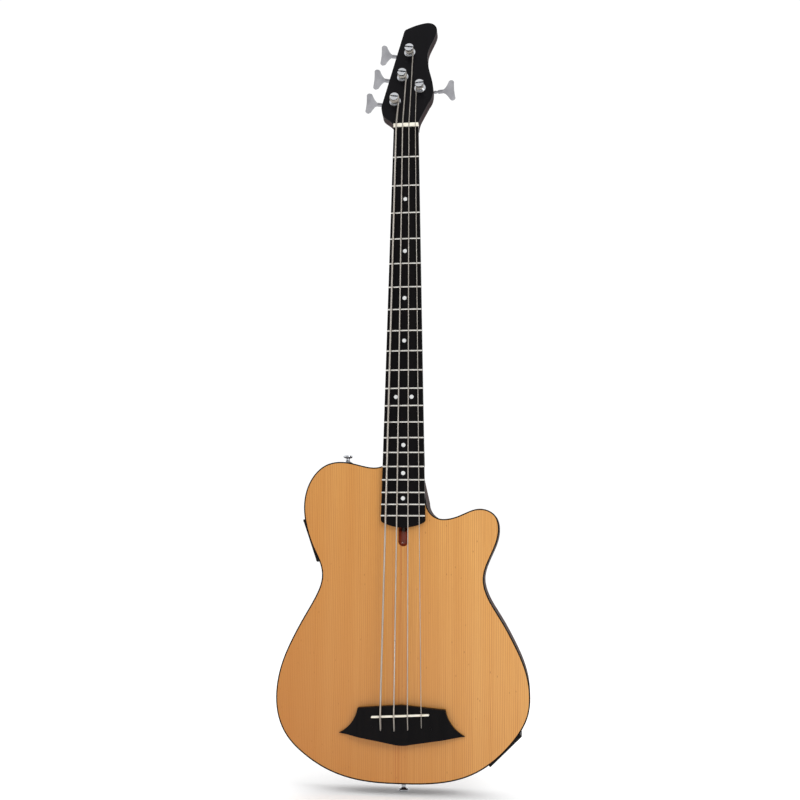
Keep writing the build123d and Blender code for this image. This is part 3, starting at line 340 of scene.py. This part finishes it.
def centre_lines(finish, wood, off_centre):
    """Darker streaks beside the centre joint, and the joint's own line."""
    near = finish.rescale(off_centre, *STREAK_REACH, 1.0, 0.0)
    streaks = finish.noise(finish.space((330, 330, 1.6)), 1.0, detail=3.0)
    share = finish.maths("MULTIPLY", near, finish.rescale(streaks, 0.48, 0.6, 0.0, 0.8))
    wood = finish.blend(share, wood, SPRUCE["streak"])
    return finish.blend(finish.rescale(off_centre, 0.0, JOINT_W, 0.5, 0.0), wood, SPRUCE["joint"])


def painted_shade_side(finish, wood):
    """Painted shade: a darker, warmer tone over the lower bass side, away from the light at the upper right.
    """
    slanted = finish.maths("ADD", finish.axis(0), finish.maths("MULTIPLY", finish.axis(2), SHADE_SLANT))
    share = finish.maths("SUBTRACT", 1.0, finish.rescale(slanted, *SHADE_REACH))
    return finish.blend(finish.maths("MULTIPLY", share, 0.8), wood, SPRUCE["painted_shade"])


def spruce_top():
    """Bookmatched spruce under satin lacquer: growth lines, broad bands, fibres and flecks."""
    finish = Finish("spruce_top", rough=0.36, coat=0.25, coat_rough=0.22, specular=0.35)
    parts = finish.tree.nodes.new("ShaderNodeSeparateXYZ")
    finish.put(parts.inputs[0], finish.space(mirrored=True))
    off_centre = parts.outputs[0]
    lines = growth_lines(finish, off_centre)
    fibre = finish.noise(finish.space((2600, 2600, 38)), 1.0, detail=3.0, rough=0.6)
    bands = finish.noise(finish.space((34, 34, 0.8), mirrored=True), 1.0, detail=3.0)
    cloud = finish.noise(finish.space((4, 4, 2.4)), 1.0, detail=2.0)
    wood = finish.blend(finish.rescale(bands, 0.36, 0.66), SPRUCE["pale"], SPRUCE["band"])
    wood = finish.blend(finish.rescale(cloud, 0.35, 0.7, 0.0, 0.3), wood, SPRUCE["cloud"])
    wood = finish.blend(finish.rescale(fibre, 0.35, 0.8, 0.0, 0.35), wood, SPRUCE["fibre"])
    wood = finish.blend(finish.maths("MULTIPLY", lines, 0.72), wood, SPRUCE["growth_line"])
    wood = centre_lines(finish, wood, off_centre)
    flecks = finish.rescale(finish.cells(finish.space((120, 120, 46)), 1.0), 0.05, 0.085, 0.5, 0.0)
    wood = finish.blend(flecks, wood, SPRUCE["fleck"])
    # the top's colour gets painted shade over its lower bass side
    finish.colour(painted_shade_side(finish, wood))
    finish.roughness(fibre, 0.3, 0.44)
    finish.bump(lines, 0.00003, 0.5)
    finish.bump(fibre, 0.00002, 0.5)
    return finish.material


def dark_wood(name, light, dark, pore, stretch, rough=0.34, coat=0.0, lines=1.0, specular=0.25):
    """Open-pored wood: streaks and pores run along the axis that is stretched least."""
    finish = Finish(name, rough=rough, coat=coat, coat_rough=0.2, specular=specular)
    space = finish.space(stretch)
    figure = finish.noise(space, 0.12, detail=4.0, distortion=0.6)
    fibre = finish.noise(space, 1.0, detail=4.0, rough=0.65)
    pores = finish.rescale(finish.noise(space, 2.3, detail=1.0), 0.6, 0.72)
    wood = finish.blend(finish.rescale(figure, 0.3, 0.7), dark, light)
    wood = finish.blend(finish.rescale(fibre, 0.35, 0.75, 0.0, 0.55 * lines), wood, dark)
    wood = finish.blend(finish.maths("MULTIPLY", pores, 0.7 * lines), wood, pore)
    finish.colour(wood)
    finish.roughness(fibre, rough - 0.05, rough + 0.12)
    finish.bump(fibre, 0.00002, 0.5)
    return finish.material


def plain_wood(name, light, dark):
    """Bare inside spruce: pale, matt, with soft lines."""
    finish = Finish(name, rough=0.7)
    fibre = finish.noise(finish.space((700, 700, 12)), 1.0, detail=4.0)
    finish.colour(finish.blend(finish.rescale(fibre, 0.3, 0.7), light, dark))
    finish.roughness(fibre, 0.62, 0.8)
    finish.bump(fibre, 0.00005, 0.5)
    return finish.material


def metal(name, tint, rough_low, rough_high, stretch=(60, 60, 60), scratch=0.35):
    """Metal with fine scratches and slightly uneven polish."""
    finish = Finish(name, rough=rough_low, metal=1.0)
    smear = finish.noise(finish.space(stretch), 1.0, detail=3.0)
    hair = finish.noise(finish.space((3200, 400, 900)), 1.0, detail=2.0, rough=0.7)
    worn = tuple(max(0, value - WORN_STEP) for value in tint)
    finish.colour(finish.blend(finish.rescale(smear, 0.3, 0.7), tint, worn))
    finish.roughness(smear, rough_low, rough_high)
    finish.bump(hair, 0.000006, scratch)
    return finish.material


def wound_metal():
    """Round-wound string: the wrap wire as close ridges along the string, with painted shade in the grooves
    between the turns.
    """
    finish = Finish("string_wrap", rough=0.3, metal=1.0)
    along = finish.tree.nodes.new("ShaderNodeAttribute")
    along.attribute_name = "along"
    phase = finish.maths("MULTIPLY", along.outputs["Fac"], 2 * math.pi / WRAP_PITCH)
    ridges = finish.maths("SINE", phase)
    soft = finish.noise(finish.space((50, 50, 14)), 1.0)
    tone = finish.blend(finish.rescale(soft, 0.3, 0.7), (214, 208, 200), (184, 176, 166))
    # painted shade: the grooves between the wrap's turns are darkened
    finish.colour(finish.blend(finish.rescale(ridges, -1.0, 0.1, 0.6, 0.0), tone, (92, 86, 80)))
    finish.roughness(soft, 0.22, 0.36)
    finish.bump(ridges, 0.00009, 0.8)
    return finish.material


def plastic(name, tint, rough, coat=0.0, grain=0.00002, cell=1400, specular=0.5):
    """Moulded plastic with a fine texture and faint handling marks."""
    finish = Finish(name, rough=rough, coat=coat, coat_rough=0.08, specular=specular)
    fine = finish.noise(finish.space((1, 1, 1)), cell, detail=2.0)
    marks = finish.noise(finish.space((1, 1, 1)), 40, detail=3.0)
    lifted = tuple(min(255, value + MARK_STEP) for value in tint)
    finish.colour(finish.blend(finish.rescale(marks, 0.35, 0.7), tint, lifted))
    finish.roughness(marks, rough * 0.85, rough * 1.25)
    finish.bump(fine, grain, 0.5)
    return finish.material


def bone():
    """Polished cream bone with soft mottling and short grain flecks."""
    finish = Finish("bone", rough=0.28, coat=0.2)
    mottle = finish.noise(finish.space((1, 1, 1)), 180, detail=3.0)
    fleck = finish.noise(finish.space((260, 1400, 1400)), 1.0, detail=2.0)
    tone = finish.blend(finish.rescale(mottle, 0.3, 0.7), (250, 247, 236), (240, 233, 214))
    finish.colour(finish.blend(finish.rescale(fleck, 0.58, 0.75, 0.0, 0.35), tone, (212, 200, 172)))
    finish.roughness(mottle, 0.22, 0.34)
    finish.bump(fleck, 0.00001, 0.4)
    return finish.material


def pearl():
    """White pearl: cloudy layers with a gloss over them."""
    finish = Finish("pearl", rough=0.2, coat=0.8, coat_rough=0.05)
    cloud = finish.noise(finish.space((1, 1, 1)), 420, detail=3.0, distortion=1.2)
    tone = finish.blend(finish.rescale(cloud, 0.3, 0.7), (246, 246, 242), (214, 218, 222))
    finish.colour(tone)
    finish.roughness(cloud, 0.14, 0.28)
    return finish.material


def felt():
    """Black felt, hairy and matt."""
    finish = Finish("felt", rough=0.95, sheen=0.5)
    hair = finish.noise(finish.space((1, 1, 1)), 2600, detail=4.0, rough=0.8)
    finish.colour(finish.blend(finish.rescale(hair, 0.3, 0.7), (14, 13, 14), (38, 36, 38)))
    finish.bump(hair, 0.0002, 0.8)
    return finish.material


def purfling_wood():
    """Pale maple line."""
    finish = Finish("purfling_wood", rough=0.36, coat=0.3)
    fibre = finish.noise(finish.space((300, 300, 300)), 1.0)
    finish.colour(finish.blend(finish.rescale(fibre, 0.3, 0.7), (232, 190, 132), (214, 168, 108)))
    return finish.material


def make_finishes():
    """Every finish by the record's material slot, and a few that single pieces use instead."""
    return {
        "spruce_top": spruce_top(),
        "mahogany": dark_wood(
            "mahogany", (66, 38, 33), (40, 24, 22), (19, 11, 10), (16, 520, 16), rough=0.55, specular=0.06,
        ),
        "back_mahogany": dark_wood(
            "back_mahogany", (98, 58, 44), (58, 33, 27), (26, 14, 12), (520, 520, 9), coat=0.2,
        ),
        "inner_spruce": plain_wood("inner_spruce", (214, 186, 138), (186, 152, 104)),
        "channel_wood": dark_wood(
            "channel_wood", (178, 76, 40), (112, 44, 24), (50, 20, 12), (420, 420, 10), rough=0.16, coat=1.0,
        ),
        "neck_wood": dark_wood(
            "neck_wood", (50, 29, 30), (30, 18, 20), (14, 9, 10), (520, 520, 9), rough=0.55, specular=0.1,
        ),
        "ebony": dark_wood(
            "ebony", (15, 13, 14), (7, 6, 8), (3, 3, 4), (620, 620, 9), rough=0.4, specular=0.08,
        ),
        "head_black": dark_wood(
            "head_black", (13, 12, 16), (8, 7, 10), (5, 5, 6), (500, 500, 12), rough=0.36, lines=0.5,
            specular=0.08,
        ),
        "black_plastic": plastic("black_plastic", (12, 9, 9), 0.38, grain=0.000005, specular=0.08),
        "matte_black": plastic("matte_black", (15, 15, 16), 0.46, specular=0.15),
        "bone": bone(),
        "pearl": pearl(),
        "chrome": metal("chrome", (214, 216, 220), 0.05, 0.12, scratch=0.15),
        "satin_nickel": metal("satin_nickel", (166, 166, 170), 0.26, 0.38),
        "fret_metal": metal("fret_metal", (240, 238, 232), 0.2, 0.32, stretch=(500, 60, 60)),
        "string_metal": wound_metal(),
        "steel": metal("steel", (182, 182, 184), 0.28, 0.42),
        "brass": metal("brass", (216, 176, 96), 0.22, 0.36),
        "black_steel": metal("black_steel", (62, 58, 56), 0.3, 0.42),
        "circuit_green": plastic("circuit_green", (22, 84, 44), 0.4, coat=0.3, cell=900),
        "felt": felt(),
        "battery_shell": plastic("battery_shell", (48, 52, 64), 0.3, coat=0.5),
        "purfling": purfling_wood(),
    }


# --- mesh helpers ---------------------------------------------------------------------------------
WELD = 1e-6                 # vertices closer than this are one
FLAT_ANGLE = 0.6            # faces that meet at less than this are one flat area, in degrees
EDGE_ANGLE = 32             # edges sharper than this are rounded over
CREASE_ANGLE = 38           # edges sharper than this stay creased in the shading


def show(name, mesh, body, material):
    """Put a finished mesh in the scene on its CAD body."""
    piece = bpy.data.objects.new(name, mesh)
    bpy.context.scene.collection.objects.link(piece)
    mesh.materials.clear()
    mesh.materials.append(material)
    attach(piece, body)
    return piece


def welded(node):
    """A CAD node's mesh as one closed skin, with flat areas joined into single faces."""
    skin = bmesh.new()
    skin.from_mesh(NODES[node].data)
    bmesh.ops.remove_doubles(skin, verts=skin.verts, dist=WELD)
    bmesh.ops.dissolve_limit(
        skin, angle_limit=math.radians(FLAT_ANGLE), use_dissolve_boundaries=False,
        verts=skin.verts, edges=skin.edges,
    )
    return skin


def finished_mesh(skin, name):
    """A bmesh as a mesh with smooth shading and creases kept."""
    for face in skin.faces:
        face.smooth = True
    mesh = bpy.data.meshes.new(name)
    skin.to_mesh(mesh)
    skin.free()
    if "custom_normal" in mesh.attributes:
        mesh.attributes.remove(mesh.attributes["custom_normal"])
    mesh.set_sharp_from_angle(angle=math.radians(CREASE_ANGLE))
    return mesh


def bevel(skin, edges, width, segments):
    """Round some edges of a skin over."""
    bmesh.ops.bevel(
        skin, geom=edges, offset=width, offset_type="OFFSET", segments=segments, profile=0.5,
        affect="EDGES", clamp_overlap=True,
    )


def softened(node, width, material, segments=2, chosen=None):
    """A copy of a CAD node with its sharp edges rounded over, shown in the node's place."""
    skin = welded(node)
    sharp = []
    for edge in skin.edges:
        if len(edge.link_faces) == 2 and edge.calc_face_angle() > math.radians(EDGE_ANGLE):
            middle = (edge.verts[0].co + edge.verts[1].co) / 2
            if chosen is None or chosen(middle):
                sharp.append(edge)
    bevel(skin, sharp, width, segments)
    body = NODES[node]["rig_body"]
    piece = show(node + "_finished", finished_mesh(skin, node + "_finished"), body, material)
    weighted = piece.modifiers.new("even_shading", "WEIGHTED_NORMAL")
    weighted.keep_sharp = True
    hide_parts(node)


def tube(points, radii, sides):
    """A round skin along points, as vertices, faces and each vertex's distance along it."""
    verts, faces, along, tangents = [], [], [], []
    for index in range(len(points)):
        before = points[max(0, index - 1)]
        after = points[min(len(points) - 1, index + 1)]
        tangents.append((after - before).normalized())
    side = tangents[0].orthogonal().normalized()
    travelled = 0.0
    for index, point in enumerate(points):
        if index > 0:
            travelled += (point - points[index - 1]).length
            side = (side - tangents[index] * side.dot(tangents[index])).normalized()
        other = tangents[index].cross(side)
        for step in range(sides):
            turn = 2 * math.pi * step / sides
            verts.append(point + (side * math.cos(turn) + other * math.sin(turn)) * radii[index])
            along.append(travelled)
    for ring in range(len(points) - 1):
        for step in range(sides):
            here = ring * sides + step
            beside = ring * sides + (step + 1) % sides
            faces.append((here, beside, beside + sides, here + sides))
    faces.append(tuple(reversed(range(sides))))
    faces.append(tuple(range((len(points) - 1) * sides, len(points) * sides)))
    return verts, faces, along


# --- body -----------------------------------------------------------------------------------------
PURFLING_W = 0.0013
PURFLING_LIFT = 0.00003     # the line stands this far out of the top, so that it shows
BINDING_ROUND = 0.0012      # radius of the bindings' outer edges
BINDING_ANGLE = 50          # only edges sharper than this are the bindings' corners
OUTLINE_ANGLE = 60          # and than this the soundboard's outline
AT_SURFACE = 1e-4           # an edge this close to the body's face lies on it
ON_FACE = 1e-5              # the same for a vertex of the soundboard
WALL_FACING = 0.5           # a face whose normal's depth is less than this is a wall, not a plate
BODY_MIDDLE = Vector((0, 0, 0.15))


def soften_bindings(finishes):
    """Binding with its outer edges rounded over and its inner edges left flush with the plates."""
    skin = welded("bindings")
    back_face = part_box("bindings")[1].y
    outer = []
    for edge in skin.edges:
        if len(edge.link_faces) != 2 or edge.calc_face_angle() < math.radians(BINDING_ANGLE):
            continue
        middle = (edge.verts[0].co + edge.verts[1].co) / 2
        walls = [face for face in edge.link_faces if abs(face.normal.y) < WALL_FACING]
        plates = [face for face in edge.link_faces if abs(face.normal.y) >= WALL_FACING]
        at_surface = abs(abs(middle.y) - back_face) < AT_SURFACE
        if walls and plates and at_surface and walls[0].normal.dot(middle - BODY_MIDDLE) > 0:
            outer.append(edge)
    bevel(skin, outer, BINDING_ROUND, 4)
    mesh = finished_mesh(skin, "bindings_finished")
    piece = show("bindings_finished", mesh, "instrument", finishes["black_plastic"])
    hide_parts("bindings")


def front_outline():
    """The soundboard's outer edge on its front face, as points in order."""
    skin = welded("soundboard")
    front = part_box("soundboard")[0].y
    on_face = [
        edge for edge in skin.edges
        if len(edge.link_faces) == 2 and edge.calc_face_angle() > math.radians(OUTLINE_ANGLE)
        and all(abs(vert.co.y - front) < ON_FACE for vert in edge.verts)
    ]
    beside = {}
    for edge in on_face:
        for vert in edge.verts:
            beside.setdefault(vert.index, []).append(edge.other_vert(vert))
    start = min((vert for edge in on_face for vert in edge.verts), key=lambda vert: vert.co.x)
    loop = [start]
    while True:
        found = [vert for vert in beside[loop[-1].index] if vert not in loop[-2:]]
        if not found or found[0] == start:
            break
        loop.append(found[0])
    points = [vert.co.copy() for vert in loop]
    skin.free()
    return points


def add_purfling(finishes):
    """Thin pale line let into the top just inside the binding."""
    points = front_outline()
    count = len(points)
    area = 0.0
    for index, point in enumerate(points):
        following = points[(index + 1) % count]
        area += point.x * following.z - following.x * point.z
    inward = 1.0 if area > 0 else -1.0
    verts, faces = [], []
    for index, point in enumerate(points):
        run = points[(index + 1) % count] - points[index - 1]
        normal = Vector((-run.z, 0, run.x)).normalized() * inward
        verts.append(point + Vector((0, -PURFLING_LIFT, 0)))
        verts.append(point + normal * PURFLING_W + Vector((0, -PURFLING_LIFT, 0)))
    for index in range(count):
        following = (index + 1) % count
        faces.append((2 * index, 2 * index + 1, 2 * following + 1, 2 * following))
    mesh = bpy.data.meshes.new("purfling")
    mesh.from_pydata(verts, [], faces)
    mesh.update()
    if sum(polygon.normal.y for polygon in mesh.polygons) > 0:
        mesh.flip_normals()
    show("purfling", mesh, "instrument", finishes["purfling"])


# --- neck, headstock and bridge -------------------------------------------------------------------
NECK_ROUND = 0.0009         # radii of the eased edges
VENEER_ROUND = 0.0005
FRETBOARD_ROUND = 0.0003
NUT_ROUND = 0.00025
BRIDGE_ROUND = 0.0006


def joint(name):
    """A joint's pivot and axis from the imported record."""
    found = next(item for item in frame["joints"] if item["name"] == name)
    return Vector(found["pos_m"]), Vector(found["axis"]).normalized()


def soften_neck(finishes):
    """Neck, headstock face, fretboard, nut and bridge with eased edges."""
    softened("neck", NECK_ROUND, finishes["neck_wood"], segments=3)
    softened("headstock_veneer", VENEER_ROUND, finishes["head_black"])
    softened("fretboard", FRETBOARD_ROUND, finishes["ebony"])
    softened("string_nut", NUT_ROUND, finishes["bone"])
    softened("bridge", BRIDGE_ROUND, finishes["ebony"], segments=3)


# --- tuners and strap buttons ---------------------------------------------------------------------
KEY_ROOT = 0.0335           # the key's blade starts this far from the post's axis
KEY_ROUND = 0.0011
POST_ROUND = 0.00025
FITTING_ROUND = 0.0003
SCREW_ROUND = 0.00015


def soften_tuners(finishes):
    """Posts, keys, bushes, brackets, screws and strap buttons with rounded edges."""
    for name in STRING_NAMES:
        pivot, axis = joint("peg_" + name + "_turn")

        def on_blade(point):
            return (point - pivot).cross(axis).length > KEY_ROOT

        softened("post_" + name, POST_ROUND, finishes["chrome"])
        softened(
            "worm_and_key_" + name, KEY_ROUND, finishes["satin_nickel"],
            segments=4, chosen=on_blade,
        )
    softened("tuner_ferrules", FITTING_ROUND, finishes["chrome"])
    softened("tuner_baseplates", FITTING_ROUND, finishes["chrome"])
    softened("tuner_screws", SCREW_ROUND, finishes["chrome"])
    softened("strap_buttons", FITTING_ROUND, finishes["chrome"])


# --- strings --------------------------------------------------------------------------------------
STRING_SIDES = 16
FROM_TAIL = 0.005           # a string is measured at these distances: from its tail,
BELOW_SADDLE = 0.008        # from the saddle
ABOVE_SADDLE = 0.02
FAR_BELOW_NUT = 0.2         # and from the nut
BELOW_NUT = 0.003
PAST_NUT = 0.006
NEAR_POST = 0.018
COIL_TURNS = 2              # full turns round a post before the last part turn to its slot
COIL_STEPS = 40             # points in one turn round a post
COIL_PITCH = 2.04           # rise of one turn, in string radii
BEND_STEPS = 6              # points on a corner's curve
BEND_REACH = 0.0016         # the curve starts this far from the corner
BEND_SHARE = 0.4            # or this share of a short run
TOUCH_GAP = 0.0005          # the straight run stops this far short of the post
TUCK_STEP = 0.2             # each step of the tucked end goes this share of the way to the post's axis
TUCK_THINNING = (0.25, 0.45, 0.65)      # and is thinner by this share
STRING_CREASE = 50          # edges sharper than this stay creased in the shading, in degrees
BALL_SETBACK = 0.0024       # from the string's tail to the point that the ball's profile starts from
BALL_PROFILE = (
    # distance from that point along the string, radius
    (-0.0022, 0.0022),
    (-0.0018, 0.0029),
    (-0.0006, 0.0029),
    (0.0, 0.0024),
    (0.0004, 0.0018),
)
BALL_SIDES = 20


def section(node, height):
    """Centre and radius of a CAD string where it crosses a height."""
    mesh = NODES[node].data
    cuts = []
    for edge in mesh.edges:
        first, second = (mesh.vertices[index].co for index in edge.vertices)
        if (first.z - height) * (second.z - height) < 0:
            cuts.append(first.lerp(second, (height - first.z) / (second.z - first.z)))
    low = Vector([min(point[i] for point in cuts) for i in range(3)])
    high = Vector([max(point[i] for point in cuts) for i in range(3)])
    return (low + high) / 2, (high.x - low.x) / 2


def rounded_route(points, reach):
    """Straight runs with each corner eased by a short curve."""
    route = [points[0]]
    for before, corner, after in zip(points, points[1:], points[2:]):
        back, ahead = before - corner, after - corner
        start = corner + back.normalized() * min(reach, back.length * BEND_SHARE)
        end = corner + ahead.normalized() * min(reach, ahead.length * BEND_SHARE)
        for step in range(BEND_STEPS + 1):
            share = step / BEND_STEPS
            route.append(start.lerp(corner, share).lerp(corner.lerp(end, share), share))
    route.append(points[-1])
    return route


def meeting(first, first_way, second, second_way):
    """The point of the first line that is nearest to the second line."""
    normal = first_way.cross(second_way)
    share = (second - first).cross(second_way).dot(normal) / normal.length_squared
    return first + first_way * share


def square_to(vector, axis):
    """The part of a vector that is square to an axis."""
    return vector - axis * vector.dot(axis)


def straight_runs(node):
    """A string's tail, its corners at the saddle and the nut, a point past the nut, and two directions."""
    low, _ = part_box(node)
    nut_low, nut_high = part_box("string_nut")
    saddle_low, saddle_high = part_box("saddle")
    tail, _ = section(node, low.z + FROM_TAIL)
    before_saddle, _ = section(node, saddle_low.z - BELOW_SADDLE)
    after_saddle, _ = section(node, saddle_high.z + ABOVE_SADDLE)
    before_nut, _ = section(node, nut_low.z - FAR_BELOW_NUT)
    at_nut, _ = section(node, nut_low.z - BELOW_NUT)
    past_nut, radius = section(node, nut_high.z + PAST_NUT)
    near_post, _ = section(node, nut_high.z + NEAR_POST)
    tail_way = (before_saddle - tail).normalized()
    post_way = (near_post - past_nut).normalized()
    over_saddle = meeting(tail, tail_way, before_nut, (after_saddle - before_nut).normalized())
    over_nut = meeting(past_nut, post_way, at_nut, (at_nut - before_nut).normalized())
    return tail, over_saddle, over_nut, past_nut, tail_way, post_way, radius


def post_turns(name, past_nut, post_way, radius):
    """Where a string meets its post, the points of its turns up it and the end tucked in the slot."""
    pivot, axis = joint("peg_" + name + "_turn")
    if axis.y > 0:
        axis = -axis
    touch = past_nut + post_way * (pivot - past_nut).dot(post_way)
    touch += post_way * square_to(pivot - touch, axis).dot(post_way)
    out = square_to(touch - pivot, axis)
    out_way = out.normalized()
    round_way = axis.cross(out_way)
    if round_way.dot(post_way) < 0:
        round_way = -round_way
    coil_base = (touch - pivot).dot(axis)
    _, key_axis = joint("key_" + name + "_turn")
    key_flat = square_to(key_axis, axis).normalized()
    slot_turn = math.atan2(key_flat.dot(round_way), key_flat.dot(out_way)) % math.pi
    turns = COIL_TURNS + slot_turn / (2 * math.pi)
    steps = int(turns * COIL_STEPS)
    coil = []
    for step in range(1, steps + 1):
        turn = 2 * math.pi * turns * step / steps
        rise = coil_base + COIL_PITCH * radius * turn / (2 * math.pi)
        spoke = out_way * math.cos(turn) + round_way * math.sin(turn)
        coil.append(pivot + axis * rise + spoke * out.length)
    radial = square_to(coil[-1] - pivot, axis)
    radii = [radius] * len(coil)
    for share in TUCK_THINNING:
        coil.append(coil[-1] - radial * TUCK_STEP)
        radii.append(radius * (1 - share))
    return touch, coil, radii


def ball_end(tail, tail_way):
    """The ball that holds a string at its tail."""
    seat = tail - tail_way * BALL_SETBACK
    return tube(
        [seat + tail_way * step for step, _ in BALL_PROFILE], [size for _, size in BALL_PROFILE], BALL_SIDES,
    )


def add_string(name, finishes):
    """One string: ball end, wound length, true turns up its post and the end tucked in the slot."""
    node = "string_" + name
    tail, over_saddle, over_nut, past_nut, tail_way, post_way, radius = straight_runs(node)
    touch, coil, coil_radii = post_turns(name, past_nut, post_way, radius)
    straight = rounded_route([tail, over_saddle, over_nut, touch - post_way * TOUCH_GAP], BEND_REACH)
    verts, faces, along = tube(straight + coil, [radius] * len(straight) + coil_radii, STRING_SIDES)
    ball_verts, ball_faces, _ = ball_end(tail, tail_way)
    offset = len(verts)
    faces = faces + [tuple(index + offset for index in face) for face in ball_faces]
    mesh = bpy.data.meshes.new(node + "_wound")
    mesh.from_pydata(verts + ball_verts, [], faces)
    distance = mesh.attributes.new("along", "FLOAT", "POINT")
    distance.data.foreach_set("value", along + [0.0] * len(ball_verts))
    for polygon in mesh.polygons:
        polygon.use_smooth = True
    mesh.set_sharp_from_angle(angle=math.radians(STRING_CREASE))
    piece = show(node + "_wound", mesh, "instrument", finishes["string_metal"])
    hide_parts(node)


# --- carried-over CAD nodes -----------------------------------------------------------------------
# These nodes look different from the rest of their material slot.
OWN_FINISH = {"truss_rod_nut": "black_steel", "back_plate": "back_mahogany"}


def paint_nodes(finishes):
    """Give every CAD node the finish of its material slot."""
    slots = {item["node"]: item["material_slot"] for item in frame["record"]["subparts"]}
    for name, node in NODES.items():
        finish = finishes[OWN_FINISH.get(name, slots[name])]
        node.data.materials.clear()
        node.data.materials.append(finish)


# --- the whole ------------------------------------------------------------------------------------
finishes = make_finishes()
paint_nodes(finishes)
soften_bindings(finishes)
add_purfling(finishes)
soften_neck(finishes)
soften_tuners(finishes)
for string_name in STRING_NAMES:
    add_string(string_name, finishes)
make_camera()
make_studio()
